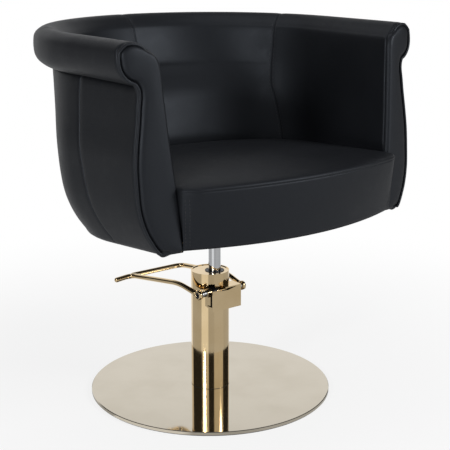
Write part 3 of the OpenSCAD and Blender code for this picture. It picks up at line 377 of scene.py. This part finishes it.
def bent(*corners):
    """A path through corners in millimetres, rounded by parabolas and close-set at the ends."""
    corners = [Vector(corner) / 1000 for corner in corners]
    path = []
    for i, p in enumerate(corners):
        if 0 < i < len(corners) - 1:
            a, b = (p + (q - p).normalized() * BEND_R for q in (corners[i - 1], corners[i + 1]))
            for n in range(BEND_STEPS + 1):
                t = n / BEND_STEPS
                path.append(a * (1 - t) ** 2 + p * 2 * t * (1 - t) + b * t * t)
        else:
            inward = (corners[1] - p if i == 0 else corners[-2] - p).normalized()
            close = [p + inward * step / 1000 for step in TIP_STEPS]
            path += close if i == 0 else close[::-1]
    return path


def eye_form(side):
    """The eye's ring about the shaft, with rounded edges, turned about its own axis."""
    section = [(-EYE_HALF, EYE_INNER), (-EYE_HALF, EYE_OUTER - EYE_EDGE),
        (-EYE_HALF + EYE_EDGE, EYE_OUTER), (EYE_HALF - EYE_EDGE, EYE_OUTER),
        (EYE_HALF, EYE_OUTER - EYE_EDGE), (EYE_HALF, EYE_INNER)]
    centre = Vector((side * EYE_X, *SHAFT_SPOT))
    return [[centre + Vector((x, r * math.cos(t), r * math.sin(t))) for x, r in section]
        for t in (2 * math.pi * k / 48 for k in range(49))]


near_arm = bent((-61.6, -31.5, 246.2), (-64, 32, 256), (-67, 225, 228), (-119.5, 214, 228))
far_arm = bent((-67, 225, 228), (79.5, 225, 228), (70.2, 32, 256), (62.1, -31.5, 246.2))
tube("lever_arm_front", near_arm, BAR_R, gold_finish, ["lever_arm_near"], 20, "lever",
    [eye_form(-1)])
tube("lever_arm_back", far_arm, BAR_R, gold_finish, ["lever_arm_far"], 20, "lever",
    [eye_form(1)])

# The outer cover: four leather panels over foam, pulled tight round the tub's outside, sewn at
# the middle of the back and near the front of each arm, tucked under the board at the bottom and
# into the crease below the roll at the top. The leather is soft and half matt.
LEATHER_LOW, LEATHER_HIGH = (0.0060, 0.0066, 0.0084, 1), (0.0086, 0.0094, 0.0116, 1)
LEATHER_GROOVE_SHADE, LEATHER_TINT = (0.003, 0.0032, 0.0042, 1), (0.8, 0.88, 1, 1)
leather_finish = Finish("black_leather", Specular_IOR_Level=0.42, Specular_Tint=LEATHER_TINT)
pebbles = leather_finish.node("ShaderNodeTexVoronoi", {"feature": "DISTANCE_TO_EDGE"},
    {"Vector": leather_finish.place(), "Scale": 620.0, "Randomness": 1.0})
pebble_height = leather_finish.between(pebbles, 0.0, 0.22)
creases = leather_finish.noise(150.0, 5.0, (1, 1, 1), 0.6)
broad = leather_finish.between(leather_finish.noise(7.0, 3.0), 0.3, 0.7)
worn = leather_finish.between(leather_finish.noise(34.0, 4.0), 0.5, 0.8)
leather_tone = leather_finish.blend(broad, LEATHER_LOW, LEATHER_HIGH)
# Painted shade: the colour darkens towards the grooves between the pebbles, where the grain's bump
# is lowest.
leather_finish.put("Base Color", leather_finish.blend(1.0 - pebble_height * 0.45,
    leather_tone, LEATHER_GROOVE_SHADE))
leather_finish.put("Roughness", 0.46 + broad * 0.05 - worn * 0.05 + (1.0 - pebble_height) * 0.12)
leather_finish.put("Normal",
    leather_finish.bump(pebble_height * 0.6 + creases * 0.4, 0.00012, 0.35))

# Its sizes are in millimetres, seen from the lifting rod, as on the workshop drawing. The rows give
# the tub's half width and its depth behind the arms as shares, at shares of the wall's height.
ROD = (7.0, -8.0)
TUB_Z, WALL_H, HALF_W, BACK = 436.0, 320.0, 355.0, 325.0
NECK_Z = TUB_Z + WALL_H
TURN_Y, TURN_FROM, TURN_IN = 20.0, 0.6, 77.0
BOARD_Z, BOARD_TOP, LAY = 440.0, 452.0, 0.3
TILT, TILT_FROM = math.radians(4.5), -322.2
FACE_Y, FACE_X, FACE_SWEEP, FACE_RISE, FACE_H = -268, 284, 12, 32, 400
FACE_BACK = 14.3
END_RUN, SEAM_RUN = 700, 760.0
SEAM_DEEP, SEAM_WIDE, HOLLOW_DEEP, HOLLOW_WIDE = 1.9, 1.3, 1.0, 9
STITCH_DEEP, STITCH_WIDE, STITCH_OFF = 0.35, 1.1, 5.5
COVER_SEAM, COVER_LEAN, LEAN_FROM, LEAN_RUN, SEAM_REACH = 0.68, 0.03, 90, 230, 0.3
COVER_ROWS, ROWS_CLOSER, COVER_LAP, COVER_PLAY, SHELL_OUT = 46, 1.25, 14, 0.4, 28.3
SEAM_LOW, SEAM_RISE, BOARD_OUT_A, BOARD_OUT_B = 0.25, 12, 28, 23
HEM_DEEP, HEM_WIDE, TUCK_DEEP, TUCK_WIDE = 5.0, 9, 4.5, 5
COVER_END_DEEP, COVER_END_WIDE = 3.2, 6
GATHER, GATHER_RUN, GATHER_WAVES, DRAPE, DRAPE_WAVES = 0.55, 16, (151, 67), 0.5, (9, 4)
WALL_ROWS = [(0, 0.895, 0.84), (0.01875, 0.914, 0.855), (0.05, 0.934, 0.862), (0.1, 0.96, 0.86),
    (0.1375, 0.976, 0.854), (0.2, 0.996, 0.84), (0.26, 1.008, 0.826), (0.325, 1.014, 0.811),
    (0.43, 1.016, 0.79), (0.54375, 1.015, 0.778), (0.7625, 0.989, 0.866), (0.8875, 0.976, 0.93),
    (1, 0.963, 1)]
LINING_ROWS = [(0, 0.763, 0.668), (0.1625, 0.78, 0.6855), (0.4125, 0.806, 0.6065),
    (0.65, 0.827, 0.6435), (0.8625, 0.841, 0.785), (1, 0.851, 0.8776)]


def along(rows, x, column=1):
    """A smooth curve through the rows, which never overshoots them."""
    x = min(max(x, rows[0][0]), rows[-1][0])
    i = next(k for k in range(len(rows) - 1) if x <= rows[k + 1][0])

    def slope(k):
        steps = [(rows[j + 1][column] - rows[j][column]) / (rows[j + 1][0] - rows[j][0])
            for j in (k - 1, k) if 0 <= j < len(rows) - 1]
        if len(steps) == 1:
            return steps[0]
        return 0 if steps[0] * steps[1] <= 0 else 2 * steps[0] * steps[1] / (steps[0] + steps[1])

    h = rows[i + 1][0] - rows[i][0]
    t = (x - rows[i][0]) / h
    return (rows[i][column] * (1 + 2 * t) * (1 - t) ** 2 + slope(i) * h * t * (1 - t) ** 2
        + rows[i + 1][column] * t * t * (3 - 2 * t) + slope(i + 1) * h * t * t * (t - 1))


def fading(x):
    """1 at 0, falling evenly to 0 at 1 and beyond."""
    return max(0.0, 1 - x)


def eased(x):
    """0 up to 0, rising softly to 1 at 1 and beyond."""
    x = min(1.0, max(0.0, x))
    return x * x * (3 - 2 * x)


def bell(x, width):
    return math.exp(-(x / width) ** 2)


def up_wall(z):
    """The share of the wall's height at a height."""
    return (z - TUB_Z) / WALL_H


def wall_a(z):
    return HALF_W * along(WALL_ROWS, up_wall(z))


def wall_b(z):
    return BACK * along(WALL_ROWS, up_wall(z), 2)


def lining_a(z):
    return HALF_W * along(LINING_ROWS, up_wall(z))


def lining_b(z):
    return BACK * along(LINING_ROWS, up_wall(z), 2)


def turn_y(z):
    """The arms turn into the back further to the front at the bottom of the tub."""
    up = max(0, min(1, (z - BOARD_TOP) / (NECK_Z - BOARD_TOP)))
    return TURN_Y - TURN_IN * (1 - up) ** 3


def sunk(point):
    """The outside of the tub sinks to the back, most at its bottom edge."""
    behind = point.y - (ROD[1] + TILT_FROM) / 1000
    return point - Vector((0, 0, math.tan(TILT) * behind * fading(up_wall(point.z * 1000))))


def front_y(x, z):
    """Where the frame of an arm ends at the front: further back outside and at the top."""
    swept = math.tan(math.radians(FACE_SWEEP)) * (x - FACE_X)
    return FACE_Y + swept + FACE_RISE * (z - TUB_Z) / FACE_H


def u_point(a, b, s, end_y, z):
    """A point of a U of half width a and back depth b: s is 0 in the middle of the back, 1 at the
    right arm's end and -1 at the left one's."""
    if abs(s) > TURN_FROM:
        x, y = math.copysign(a, s), end_y + (turn_y(z) - end_y) * (1 - abs(s)) / (1 - TURN_FROM)
    else:
        turn = math.radians(90 * s / TURN_FROM)
        x, y = a * math.sin(turn), turn_y(z) + b * math.cos(turn)
    return Vector(((ROD[0] + x) / 1000, (ROD[1] + y) / 1000, z / 1000))


def stations(seams, count=110, clear=0.02):
    """Places round the tub, close together at the ends and beside each seam."""
    close = [0, 0.0012, 0.0025, 0.004, 0.006, 0.009, 0.013, 0.018]
    marks = {round(-1 + 2 * i / count, 5) for i in range(count + 1)}
    marks = {m for m in marks if all(abs(m - q) > clear for q in seams)}
    marks |= {round(q + side * c, 5) for q in seams for c in close for side in (-1, 1)}
    marks |= {side * (1 - c) for c in close for side in (-1, 1)}
    return sorted(marks)


def seam_dip(s, seams):
    """How far the leather dips at a seam and its two rows of stitching, in millimetres."""
    dip = 0.0
    for q in seams:
        d = abs(s - q) * SEAM_RUN
        dip += SEAM_DEEP * bell(d, SEAM_WIDE) + HOLLOW_DEEP * bell(d, HOLLOW_WIDE)
        dip += STITCH_DEEP * bell(d - STITCH_OFF, STITCH_WIDE)
    return dip


def beside(s, seam):
    """1 at a side seam, falling to 0 away from it: the stations there move with the seam."""
    return fading(((abs(s) - seam) / SEAM_REACH) ** 2) ** 2


def cover_point(a, b, s, z):
    return u_point(a, b, s, front_y(a, z) + FACE_BACK, z)


def cover_ring(s):
    """A section through the cover: up its outside, down inside the shell and under the board."""
    near_end = fading((1 - abs(s)) * END_RUN / COVER_END_WIDE)
    dip = seam_dip(s, COVER_SEAMS) + COVER_END_DEEP * near_end ** 2
    ring = []
    for i in range(COVER_ROWS + 1):
        z = TUB_Z + WALL_H * (i / COVER_ROWS) ** ROWS_CLOSER
        up = up_wall(z)
        tuck = TUCK_DEEP * fading((NECK_Z - z) / TUCK_WIDE) ** 2
        hem = HEM_DEEP * fading((z - TUB_Z) / HEM_WIDE) ** 2
        gather = (GATHER * math.exp(-(NECK_Z - z) / GATHER_RUN)
            * math.sin(s * GATHER_WAVES[0]) * math.sin(s * GATHER_WAVES[1] + 1))
        drape = (DRAPE * math.sin(DRAPE_WAVES[0] * s + DRAPE_WAVES[1] * up)
            * math.sin(math.pi * min(1, up * 1.05)))
        seam = dip * min(1.0, SEAM_LOW + up * SEAM_RISE)
        d = seam + tuck + gather + drape + COVER_PLAY + hem
        lean = beside(s, COVER_SEAM) * COVER_LEAN * eased((z - TUB_Z - LEAN_FROM) / LEAN_RUN)
        at = s - math.copysign(lean, s)
        ring.append(sunk(cover_point(wall_a(z) - d, wall_b(z) - d, at, z)))
    ring += [cover_point(lining_a(z) + SHELL_OUT, lining_b(z) + SHELL_OUT, s, z)
        for z in (NECK_Z, NECK_Z - 90, NECK_Z - 190, TUB_Z + 44, BOARD_TOP - LAY)]
    ring += [cover_point(board_a + LAY, board_b + LAY, s, z)
        for z in (BOARD_TOP - LAY, BOARD_Z - LAY)]
    lap = (board_a - COVER_LAP, board_b - COVER_LAP)
    return ring + [cover_point(*lap, s, BOARD_Z - LAY), sunk(cover_point(*lap, s, TUB_Z))]


COVER_SEAMS = (-COVER_SEAM, 0.0, COVER_SEAM)
board_a, board_b = lining_a(BOARD_TOP) + BOARD_OUT_A, lining_b(BOARD_TOP) + BOARD_OUT_B
cover_rings = [cover_ring(s) for s in stations(COVER_SEAMS)]
make("outer_cover", [p for ring in cover_rings for p in ring], closed_skin(cover_rings),
    leather_finish, ["outer_side_left", "outer_back_left", "outer_back_right", "outer_side_right"])

# Two rows of stitching in black thread hold each seam of the outer cover. The stitches are up to
# 5 mm long and half sunk into the leather.
THREAD_GROOVE_SHADE, THREAD_HIGH = (0.012, 0.012, 0.013, 1), (0.045, 0.045, 0.05, 1)
STITCH_STEP, STITCH_HOLE, STITCH_LONG, THREAD_R = 0.0064, 0.0008, 0.0050, 0.00052
thread_finish = Finish("black_thread", Specular_IOR_Level=0.4)
twist = thread_finish.node("ShaderNodeTexWave", {"bands_direction": "DIAGONAL"},
    {"Vector": thread_finish.place(), "Scale": 900.0}, out=1)
# Painted shade: the grooves between the twisted strands are painted darker than the strands'
# crowns.
thread_finish.put("Base Color", thread_finish.blend(twist, THREAD_GROOVE_SHADE, THREAD_HIGH))
thread_finish.put("Roughness", 0.5 + twist * 0.15)
thread_finish.put("Normal", thread_finish.bump(twist, 0.0002, 0.6))


def stitched(name, runs):
    """Rows of short stitches along the runs of points, each a closed form with tapered ends."""
    points, faces = [], []
    for run in runs:
        gone, start = 0.0, run[0]
        for p, q in zip(run, run[1:]):
            gone += (q - p).length
            if gone < STITCH_STEP:
                continue
            way = (q - start).normalized()
            u = way.orthogonal().normalized()
            w = way.cross(u)
            a = start + way * STITCH_HOLE
            length = min((q - start).length - 2 * STITCH_HOLE, STITCH_LONG)
            rings = [[a + way * length * at + (u * math.cos(t) + w * math.sin(t)) * THREAD_R * wide
                for t in (math.pi * k / 3 for k in range(6))]
                for at, wide in ((0, 0.45), (0.18, 1), (0.82, 1), (1, 0.45))]
            faces += [tuple(len(points) + i for i in face) for face in closed_skin(rings)]
            points += [v for ring in rings for v in ring]
            gone, start = 0.0, q
    make(name, points, faces, thread_finish)


def seam_rows(ring_at, seams, first, last):
    """The rows of stitching beside each seam, over the given rows of a cover's ring."""
    sides = [(q, side) for q in seams for side in (-STITCH_OFF, STITCH_OFF)]
    return [ring_at(q + side / SEAM_RUN)[first:last] for q, side in sides]


stitched("cover_stitching", seam_rows(cover_ring, COVER_SEAMS, 6, COVER_ROWS))

# The lining and the roll: one padded leather surface rises from the seat, turns over the roll
# along the rim and ends in the crease outside. It is sewn at the middle of the back and at the
# two ends of the back, and the roll is the fattest padding of the tub.
LINING_SEAM, ROLL_R, TUB_H = 0.42, 40.0, 400
ROLL_Z = TUB_Z + TUB_H - ROLL_R
LINING_SEAMS = (-LINING_SEAM, 0.0, LINING_SEAM)
ROLL_OUTLINE = [(-0.91, -0.99), (-0.88, -0.53), (-0.8, 0), (-0.63, 0.38), (-0.38, 0.65),
    (-0.08, 0.88), (0.25, 0.99), (0.6, 0.96), (0.86, 0.84), (1.03, 0.6), (1.08, 0.26), (1.07, -0.1),
    (0.98, -0.41), (0.8, -0.68), (0.55, -0.89), (0.3, -1.02), (0.18, -1.03), (0.12, -0.99)]
ROLL_IN, ROLL_BEHIND, ROLL_LESS = 4, 6, 3.0
LINING_LOW, LINING_STEP, LINING_COUNT, UPHOLSTERY_COUNT = 34, 17.5, 16, 150
LINING_BOW, BOW_FROM, BOW_RUN = 0.024, 540, 260
LINING_DIP, LINING_SOFT, CREST_RUN, SOFT_FROM = 0.7, 0.3, 10, 20
FACE_LAP, LAP_FROM, LAP_RUN, LAP_END, LAP_FADE = 5.5, 545, 40, 8, 24
LINING_END_DEEP, LINING_END_WIDE, LINING_THICK, NECK_THICK = 2.0, 5, 15.7, 3.5
roll_a, roll_b = wall_a(NECK_Z) - ROLL_IN, wall_b(NECK_Z) - ROLL_IN


def spline(points, count):
    """A smooth run through points of any number of coordinates."""
    out = []
    for n in range(count + 1):
        u = n / count * (len(points) - 1)
        i = min(int(u), len(points) - 2)
        t = u - i
        p = [points[min(max(i + k, 0), len(points) - 1)] for k in (-1, 0, 1, 2)]
        out.append(tuple(0.5 * (2 * b + (c - a) * t + (2 * a - 5 * b + 4 * c - d) * t * t
            + (3 * b - a - 3 * c + d) * t ** 3) for a, b, c, d in zip(*p)))
    return out


def fullness(z):
    """How much of the arm face's lap there is at a height of the arm's inner side."""
    return eased((z - LAP_FROM) / LAP_RUN) * (1 - eased((z - ROLL_Z - LAP_END) / LAP_FADE))


def upholstery_ring(s):
    """A section through the lining and the roll, closed behind them along the shell."""
    near_end = fading((1 - abs(s)) * END_RUN / LINING_END_WIDE)
    ring = []
    for i, (a, b, z) in enumerate(upholstery_rows):
        before = upholstery_rows[max(i - 1, 0)]
        after = upholstery_rows[min(i + 1, UPHOLSTERY_COUNT)]
        run, climb = after[0] - before[0], after[2] - before[2]
        size = math.hypot(run, climb)
        out, up = climb / size, -run / size
        over = max(0.0, (i - crest) / CREST_RUN)
        dip = LINING_DIP * seam_dip(s, LINING_SEAMS) * fading(over)
        dip += LINING_END_DEEP * near_end ** 2
        d = dip + LINING_SOFT * math.sin(7 * s + 0.05 * z) * min(1, i / SOFT_FROM)
        d += (ROLL_LESS * eased((0.7 - abs(s)) / 0.2) * eased((i - crest) / 8)
            * eased((z - ROLL_Z + 30) / 30))
        full = FACE_LAP * eased((abs(s) - 0.6) / 0.38) * fullness(z) * (i < crest)
        bow = beside(s, LINING_SEAM) * LINING_BOW * (2 * eased((z - BOW_FROM) / BOW_RUN) - 1)
        at, end_y = s + math.copysign(bow, s), front_y(a, z) + FACE_BACK
        ring.append(u_point(a + out * d - full, b + out * d, at, end_y, z + up * d))
    ring.append(cover_point(roll_a + NECK_THICK, roll_b + ROLL_BEHIND, s, NECK_Z + 0.5))
    return ring + [cover_point(lining_a(z) + LINING_THICK, lining_b(z) + LINING_THICK, s, z)
        for z in (NECK_Z - 1, NECK_Z - 100, NECK_Z - 200, BOARD_TOP + LAY)]


lining_rows = [(lining_a(z), lining_b(z), z) for z in
    [BOARD_TOP + LAY] + [TUB_Z + LINING_LOW + LINING_STEP * i for i in range(LINING_COUNT)]]
roll_rows = [(roll_a + out * ROLL_R, roll_b + out * ROLL_R + ROLL_BEHIND * (1 + out) / 2,
    ROLL_Z + up * ROLL_R) for out, up in ROLL_OUTLINE]
upholstery_rows = spline(lining_rows + roll_rows[2:-1], UPHOLSTERY_COUNT)
crest = max(range(len(upholstery_rows)), key=lambda i: upholstery_rows[i][2])
upholstery_rings = [upholstery_ring(s) for s in stations(LINING_SEAMS)]
make("lining_and_roll", [p for ring in upholstery_rings for p in ring],
    closed_skin(upholstery_rings), leather_finish, ["inner_side_left", "inner_back_left",
    "inner_back_right", "inner_side_right", "rim_roll"])
stitched("lining_stitching", seam_rows(upholstery_ring, LINING_SEAMS, 12, crest + 4))

# The padded faces at the front of the arms: leather over foam, stapled to the posts, with a rounded
# edge all the way round, from the bottom of the tub up and over the end of the roll. Along the
# outer side a low rim lies in front of the padding, where the piping is sewn in.
FACING_T, FACING_COUNT, FACING_REAR, LAST_SPOT = 14.0, 120, -0.2, (0.6, 1.4)
LAP_LOW, LAP_LOW_RUN, OVER_COVER, OVER_ROLL = 455, 90, 2.0, 0.8
PADS = ((0.62, 8.5), (0.38, 30))
RIM_DEEP, RIM_ROUND, RIM_WIDE, RIM_LESS, RIM_FULL = 4.5, 2.5, 6.5, 2.5, 5
RIM_FROM, RIM_START, SCROLL_FROM, SCROLL_RUN = 0.45, 0.1, 12, 20
SAG_ROWS, SAG_DOWN, SAG_UP, SAG_OUTWARD = 9, 4.0, 5.0, 3.4
FACING_HEIGHTS = (0, 0.025, 0.075, 0.1625, 0.275, 0.4, 0.5375, 0.6625, 0.7875, 0.875, 0.95)
FACING_ACROSS = [0, 0.004, 0.012, 0.026, 0.05, 0.075, 0.1, 0.125, 0.155, 0.2, 0.27, 0.36, 0.46,
    0.56, 0.65, 0.73, 0.79, 0.83, 0.862, 0.885, 0.905, 0.925, 0.95, 0.974, 0.988, 0.996, 1]


def facing_edges():
    """Pairs of places on the face's inner and outer edge, from the bottom to the scroll's top."""
    pairs = [(lining_a(z) - FACE_LAP * eased((z - LAP_LOW) / LAP_LOW_RUN), z,
        wall_a(z) + OVER_COVER, z) for z in (TUB_Z + k * WALL_H for k in FACING_HEIGHTS)]
    for i in range(1, 8):
        inner, outer = ROLL_OUTLINE[i], ROLL_OUTLINE[16 - i]
        high = ROLL_Z + inner[1] * ROLL_R
        pairs.append((roll_a + inner[0] * ROLL_R - FACE_LAP * fullness(high), high,
            roll_a + outer[0] * ROLL_R + OVER_ROLL, ROLL_Z + outer[1] * ROLL_R))
    return spline(pairs, FACING_COUNT)


def edge_distance(x, z):
    """How far a place lies from the nearest edge of the face."""
    near = 1e9
    for (ax, az), (bx, bz) in zip(facing_outline, facing_outline[1:] + facing_outline[:1]):
        dx, dz = bx - ax, bz - az
        t = max(0.0, min(1.0, ((x - ax) * dx + (z - az) * dz) / (dx * dx + dz * dz + 1e-9)))
        near = min(near, math.hypot(x - ax - t * dx, z - az - t * dz))
    return near


def facing_spot(side, x, z, deep):
    """A place standing out by a depth on an arm's face: side is -1 on the left, 1 on the right."""
    return sunk(Vector(((ROD[0] + side * x) / 1000,
        (ROD[1] + front_y(x, z) + FACING_T - deep) / 1000, z / 1000)))


def arc(share):
    """A quarter circle's height: 0 at 0 and 1 from 1 on."""
    return math.sqrt(max(0.0, 1 - (1 - min(max(share, 0.0), 1)) ** 2))


def swell(d, inset):
    """How far the padding stands out at a distance from the edge, inside a low rim this wide."""
    (share, run), (more, longer) = PADS
    raised = FACING_T * (share * arc((d - inset) / run) + more * arc((d - inset) / longer))
    return max(raised, RIM_DEEP * arc(d / RIM_ROUND) * min(1.0, inset / RIM_FULL))


def facing_row(i, pair):
    """One row of places across the face, each with its depth."""
    a, z, c, d = pair
    row = []
    for k in FACING_ACROSS:
        x, h = a + (c - a) * k, z + (d - z) * k
        sag = SAG_DOWN * math.sin(math.pi * k ** SAG_OUTWARD) - SAG_UP * (1 - k) ** 2
        sag = fading(i / SAG_ROWS) ** 2 * sag
        rim = max(eased((k - RIM_FROM) / RIM_START), eased((h - ROLL_Z - SCROLL_FROM) / SCROLL_RUN))
        inset = (RIM_WIDE - RIM_LESS * eased((h - ROLL_Z) / SCROLL_RUN)) * rim
        row.append((x, h - sag, swell(edge_distance(x, h), inset)))
    return [(a, z, 0.0)] + row[1:-1] + [(c, d, 0.0)]


facing_pairs = facing_edges()
a, z, c, d = facing_pairs[-1]
facing_outline = ([pair[:2] for pair in facing_pairs]
    + [((a + c) / 2 + LAST_SPOT[0], (z + d) / 2 + LAST_SPOT[1])]
    + [pair[2:] for pair in reversed(facing_pairs)])
facing_flat = [facing_row(i, pair) for i, pair in enumerate(facing_pairs)]
for side, hand in ((-1, "left"), (1, "right")):
    rows = [[facing_spot(side, *place) for place in row]
        + [facing_spot(side, *row[end][:2], FACING_REAR) for end in (-1, 0)] for row in facing_flat]
    make("arm_face_" + hand, [p for row in rows for p in row], closed_skin(rows), leather_finish,
        ["facing_" + hand])

# Piping: a cord wrapped in leather, sewn into the joint between the arm's face and the outer
# cover, from the bottom edge up and round the end of the roll. Both its ends are tucked in.
PIPING_R, PIPING_COUNT, PIPING_DEEP, PIPING_IN, PIPING_LOW = 0.0030, 150, 8.0, 2.4, TUB_Z + 3.5
START_TUCK, START_STEPS, END_TUCK, END_STEPS = 5.0, 3, 6.0, 8
piping_flat = [pair[2:] for pair in facing_pairs] + [(roll_a + out * ROLL_R, ROLL_Z + up * ROLL_R)
    for out, up in ROLL_OUTLINE[8:2:-1]]
piping_flat = spline(piping_flat[::2], PIPING_COUNT)
for side, hand in ((-1, "left"), (1, "right")):
    path = []
    for i, (c, d) in enumerate(piping_flat):
        before, after = piping_flat[max(i - 1, 0)], piping_flat[min(i + 1, PIPING_COUNT)]
        wx, wz = after[0] - before[0], after[1] - before[1]
        size = math.hypot(wx, wz)
        tucked = (START_TUCK * fading(i / START_STEPS) ** 2
            + END_TUCK * max(0.0, (i - len(piping_flat) + END_STEPS) / END_STEPS) ** 2)
        off = -PIPING_IN - 0.5 * tucked
        path.append(facing_spot(side, c + wz / size * off, max(d - wx / size * off, PIPING_LOW),
            PIPING_DEEP - tucked))
    tube("arm_piping_" + hand, path, PIPING_R, leather_finish, ["piping_" + hand])

# The cushion: foam under leather, round at the back and along the sides, bowed at the front. Its
# front reaches down over the board's edge. The top is a crowned panel sewn to the band round the
# sides, and the front band has an upright row of double stitching at each corner.
CORNER_Y, BOW, DRAW, FALL, CORNER_FROM, CORNER_SHARP = -288.0, 57.0, 17.0, 26.0 * 1.2, 0.88, 2.2
CORNER_BACK, CORNER_BACK_LOW, CORNER_OUT_LOW, CORNER_DROP, FRONT_DROP = 14, 11, 9, 1.2, 1.5
SEAM_Z, CROWN, MIDDLE_Y = TUB_Z + 124.0, 16.0, -60.0
FRONT_STEPS, SIDE_STEPS, BACK_STEPS, CROWN_STEPS = 30, 24, 33, 30
FRONT_LOW, FRONT_PLAY, SIDE_PLAY, SIDE_IN = TUB_Z + 1.6, 1.0, 0.5, 20
BELLY, GROOVE, GROOVE_AT, GROOVE_WIDE, FRONT_TO = 1.5, 1.6, 0.968, 0.008, CORNER_Y + 10
UNDER_SHARES, UNDER_Z, CROWN_CLOSER, CROWN_IN = (0.35, 0.93), BOARD_TOP + 0.4, 1.35, 0.985
BAND_ROWS = [i / 16 for i in range(15)] + [0.93, 0.95, 0.96, GROOVE_AT, 0.976, 0.986, 1]
CROWN_ROWS = [(0, 0), (0.015, 0.14), (0.03, 0.26), (0.09, 0.5), (0.2, 0.72), (0.36, 0.88),
    (0.56, 0.97), (0.78, 1), (1, 1)]
HELD_RUN, HELD_BELOW = 14, BOARD_TOP + 6
CORNER_STITCHES = (25, 27)


def top_z(y):
    """The height of the seam round the cushion's top, which falls to the back."""
    return SEAM_Z - FALL * (y - CORNER_Y) / (BACK - CORNER_Y)


def cushion_outline(v):
    """The outline at height share v, from the middle of the front round by the right to the
    middle of the back, as half a loop of (x, y, z)."""
    half = []
    for i in range(FRONT_STEPS + 1):
        k = math.sin(math.radians(90 * i / FRONT_STEPS)) ** 0.9
        y = CORNER_Y - BOW * (1 - k * k) + DRAW * (1 - v)
        corner = max(0.0, (k - CORNER_FROM) / (1 - CORNER_FROM)) ** CORNER_SHARP
        z = FRONT_LOW + (top_z(y) - FRONT_DROP - CORNER_DROP * corner - FRONT_LOW) * v
        y += (CORNER_BACK - CORNER_BACK_LOW * (1 - v)) * corner
        half.append((k * (lining_a(z) - FRONT_PLAY + CORNER_OUT_LOW * (1 - v) * corner), y, z))
    low = BOARD_TOP + LAY
    for i in range(1, SIDE_STEPS + 1):
        y = CORNER_Y + SIDE_IN + (TURN_Y - CORNER_Y - SIDE_IN) * i / SIDE_STEPS
        z = low + (top_z(y) - low) * v
        y = CORNER_Y + SIDE_IN + (turn_y(z) - CORNER_Y - SIDE_IN) * i / SIDE_STEPS
        half.append((lining_a(z) - SIDE_PLAY, y, z))
    for i in range(1, BACK_STEPS + 1):
        t = math.radians(90 * (1 - i / BACK_STEPS))
        z = low + (top_z(turn_y(SEAM_Z) + lining_b(SEAM_Z) * math.cos(t)) - low) * v
        half.append(((lining_a(z) - SIDE_PLAY) * math.sin(t),
            turn_y(z) + (lining_b(z) - SIDE_PLAY) * math.cos(t), z))
    return half


def drawn_in(half, k, height):
    """The outline made smaller about the cushion's middle; height gives z from the old y and z."""
    return [(x * k, MIDDLE_Y + (y - MIDDLE_Y) * k, height(y, z)) for x, y, z in half]


def whole(half):
    """The full loop of points from its right half, mirrored."""
    return [Vector(((ROD[0] + x) / 1000, (ROD[1] + y) / 1000, z / 1000)) for x, y, z in
        half + [(-x, y, z) for x, y, z in reversed(half[1:-1])]]


def cushion_rings():
    """Loops from under the cushion out, up its sides, and in over the crowned top."""
    foot, seam = cushion_outline(0), cushion_outline(1)
    rings = [whole(drawn_in(foot, k, lambda y, z: UNDER_Z)) for k in UNDER_SHARES]
    rings.append(whole(drawn_in(foot, 0.965, lambda y, z: z)))
    for v in BAND_ROWS:
        belly = math.sin(math.pi * v) * BELLY - GROOVE * bell(v - GROOVE_AT, GROOVE_WIDE)
        rings.append(whole([(x, y - belly * (y < FRONT_TO), z) for x, y, z in cushion_outline(v)]))
    for i in range(1, CROWN_STEPS + 1):
        t = (i / CROWN_STEPS) ** CROWN_CLOSER * CROWN_IN
        k, up = 1 - t, CROWN * along(CROWN_ROWS, t)
        rings.append(whole(drawn_in(seam, k,
            lambda y, z: top_z(MIDDLE_Y + (y - MIDDLE_Y) * k) + up)))
    return rings


def pressed(piece, held, voxel=0.008, cap=0.009, pressure=4.0, stiffness=25, frames=20):
    """The padding swells under the leather: a remeshed copy is blown up as cloth with its seams
    held, and the piece's own, finer points follow the copy's."""
    copy = piece.copy()
    copy.data = piece.data.copy()
    bpy.context.scene.collection.objects.link(copy)
    remesh = copy.modifiers.new("remesh", "REMESH")
    remesh.mode, remesh.voxel_size = "VOXEL", voxel
    coarse = bpy.data.meshes.new_from_object(
        copy.evaluated_get(bpy.context.evaluated_depsgraph_get()))
    copy.modifiers.clear()
    copy.data = coarse
    start = [v.co.copy() for v in coarse.vertices]
    pins = copy.vertex_groups.new(name="pins")
    for i, p in enumerate(start):
        pins.add([i], held(p), "REPLACE")
    cloth = copy.modifiers.new("cloth", "CLOTH").settings
    cloth.vertex_group_mass = "pins"
    cloth.use_pressure = True
    cloth.uniform_pressure_force = pressure
    cloth.tension_stiffness = cloth.compression_stiffness = stiffness
    cloth.effector_weights.gravity = 0
    for frame_number in range(1, frames + 1):
        bpy.context.scene.frame_set(frame_number)
    blown = copy.evaluated_get(bpy.context.evaluated_depsgraph_get()).to_mesh()
    moved = [v.co - p for v, p in zip(blown.vertices, start)]
    tree = KDTree(len(start))
    for i, p in enumerate(start):
        tree.insert(p, i)
    tree.balance()
    for v in piece.data.vertices:
        near = tree.find_n(v.co, 8)
        weights = [1 / (d + 0.002) for _, _, d in near]
        shift = sum((moved[i] * w for (_, i, _), w in zip(near, weights)), Vector()) / sum(weights)
        shift *= 1 - held(v.co)
        v.co += shift * min(1.0, cap / max(shift.length, 1e-9))
    bpy.context.scene.frame_set(1)
    bpy.data.objects.remove(copy)


def held_at_seams(p):
    """1 at the seam round the cushion's top and under the cushion, falling to 0 off the seam."""
    y, z = p.y * 1000 - ROD[1], p.z * 1000
    return 1.0 if z < HELD_BELOW else fading(abs(z - top_z(y)) / HELD_RUN)


rings = cushion_rings()
cushion = make("cushion", [p for ring in rings for p in ring], closed_skin(rings), leather_finish,
    ["seat_cushion"])
pressed(cushion, held_at_seams)
loop = len(rings[0])
corners = CORNER_STITCHES + tuple(loop - i for i in reversed(CORNER_STITCHES))
stitched("cushion_stitching", [[cushion.data.vertices[row * loop + i].co.copy()
    for row in range(4, 18)] for i in corners])
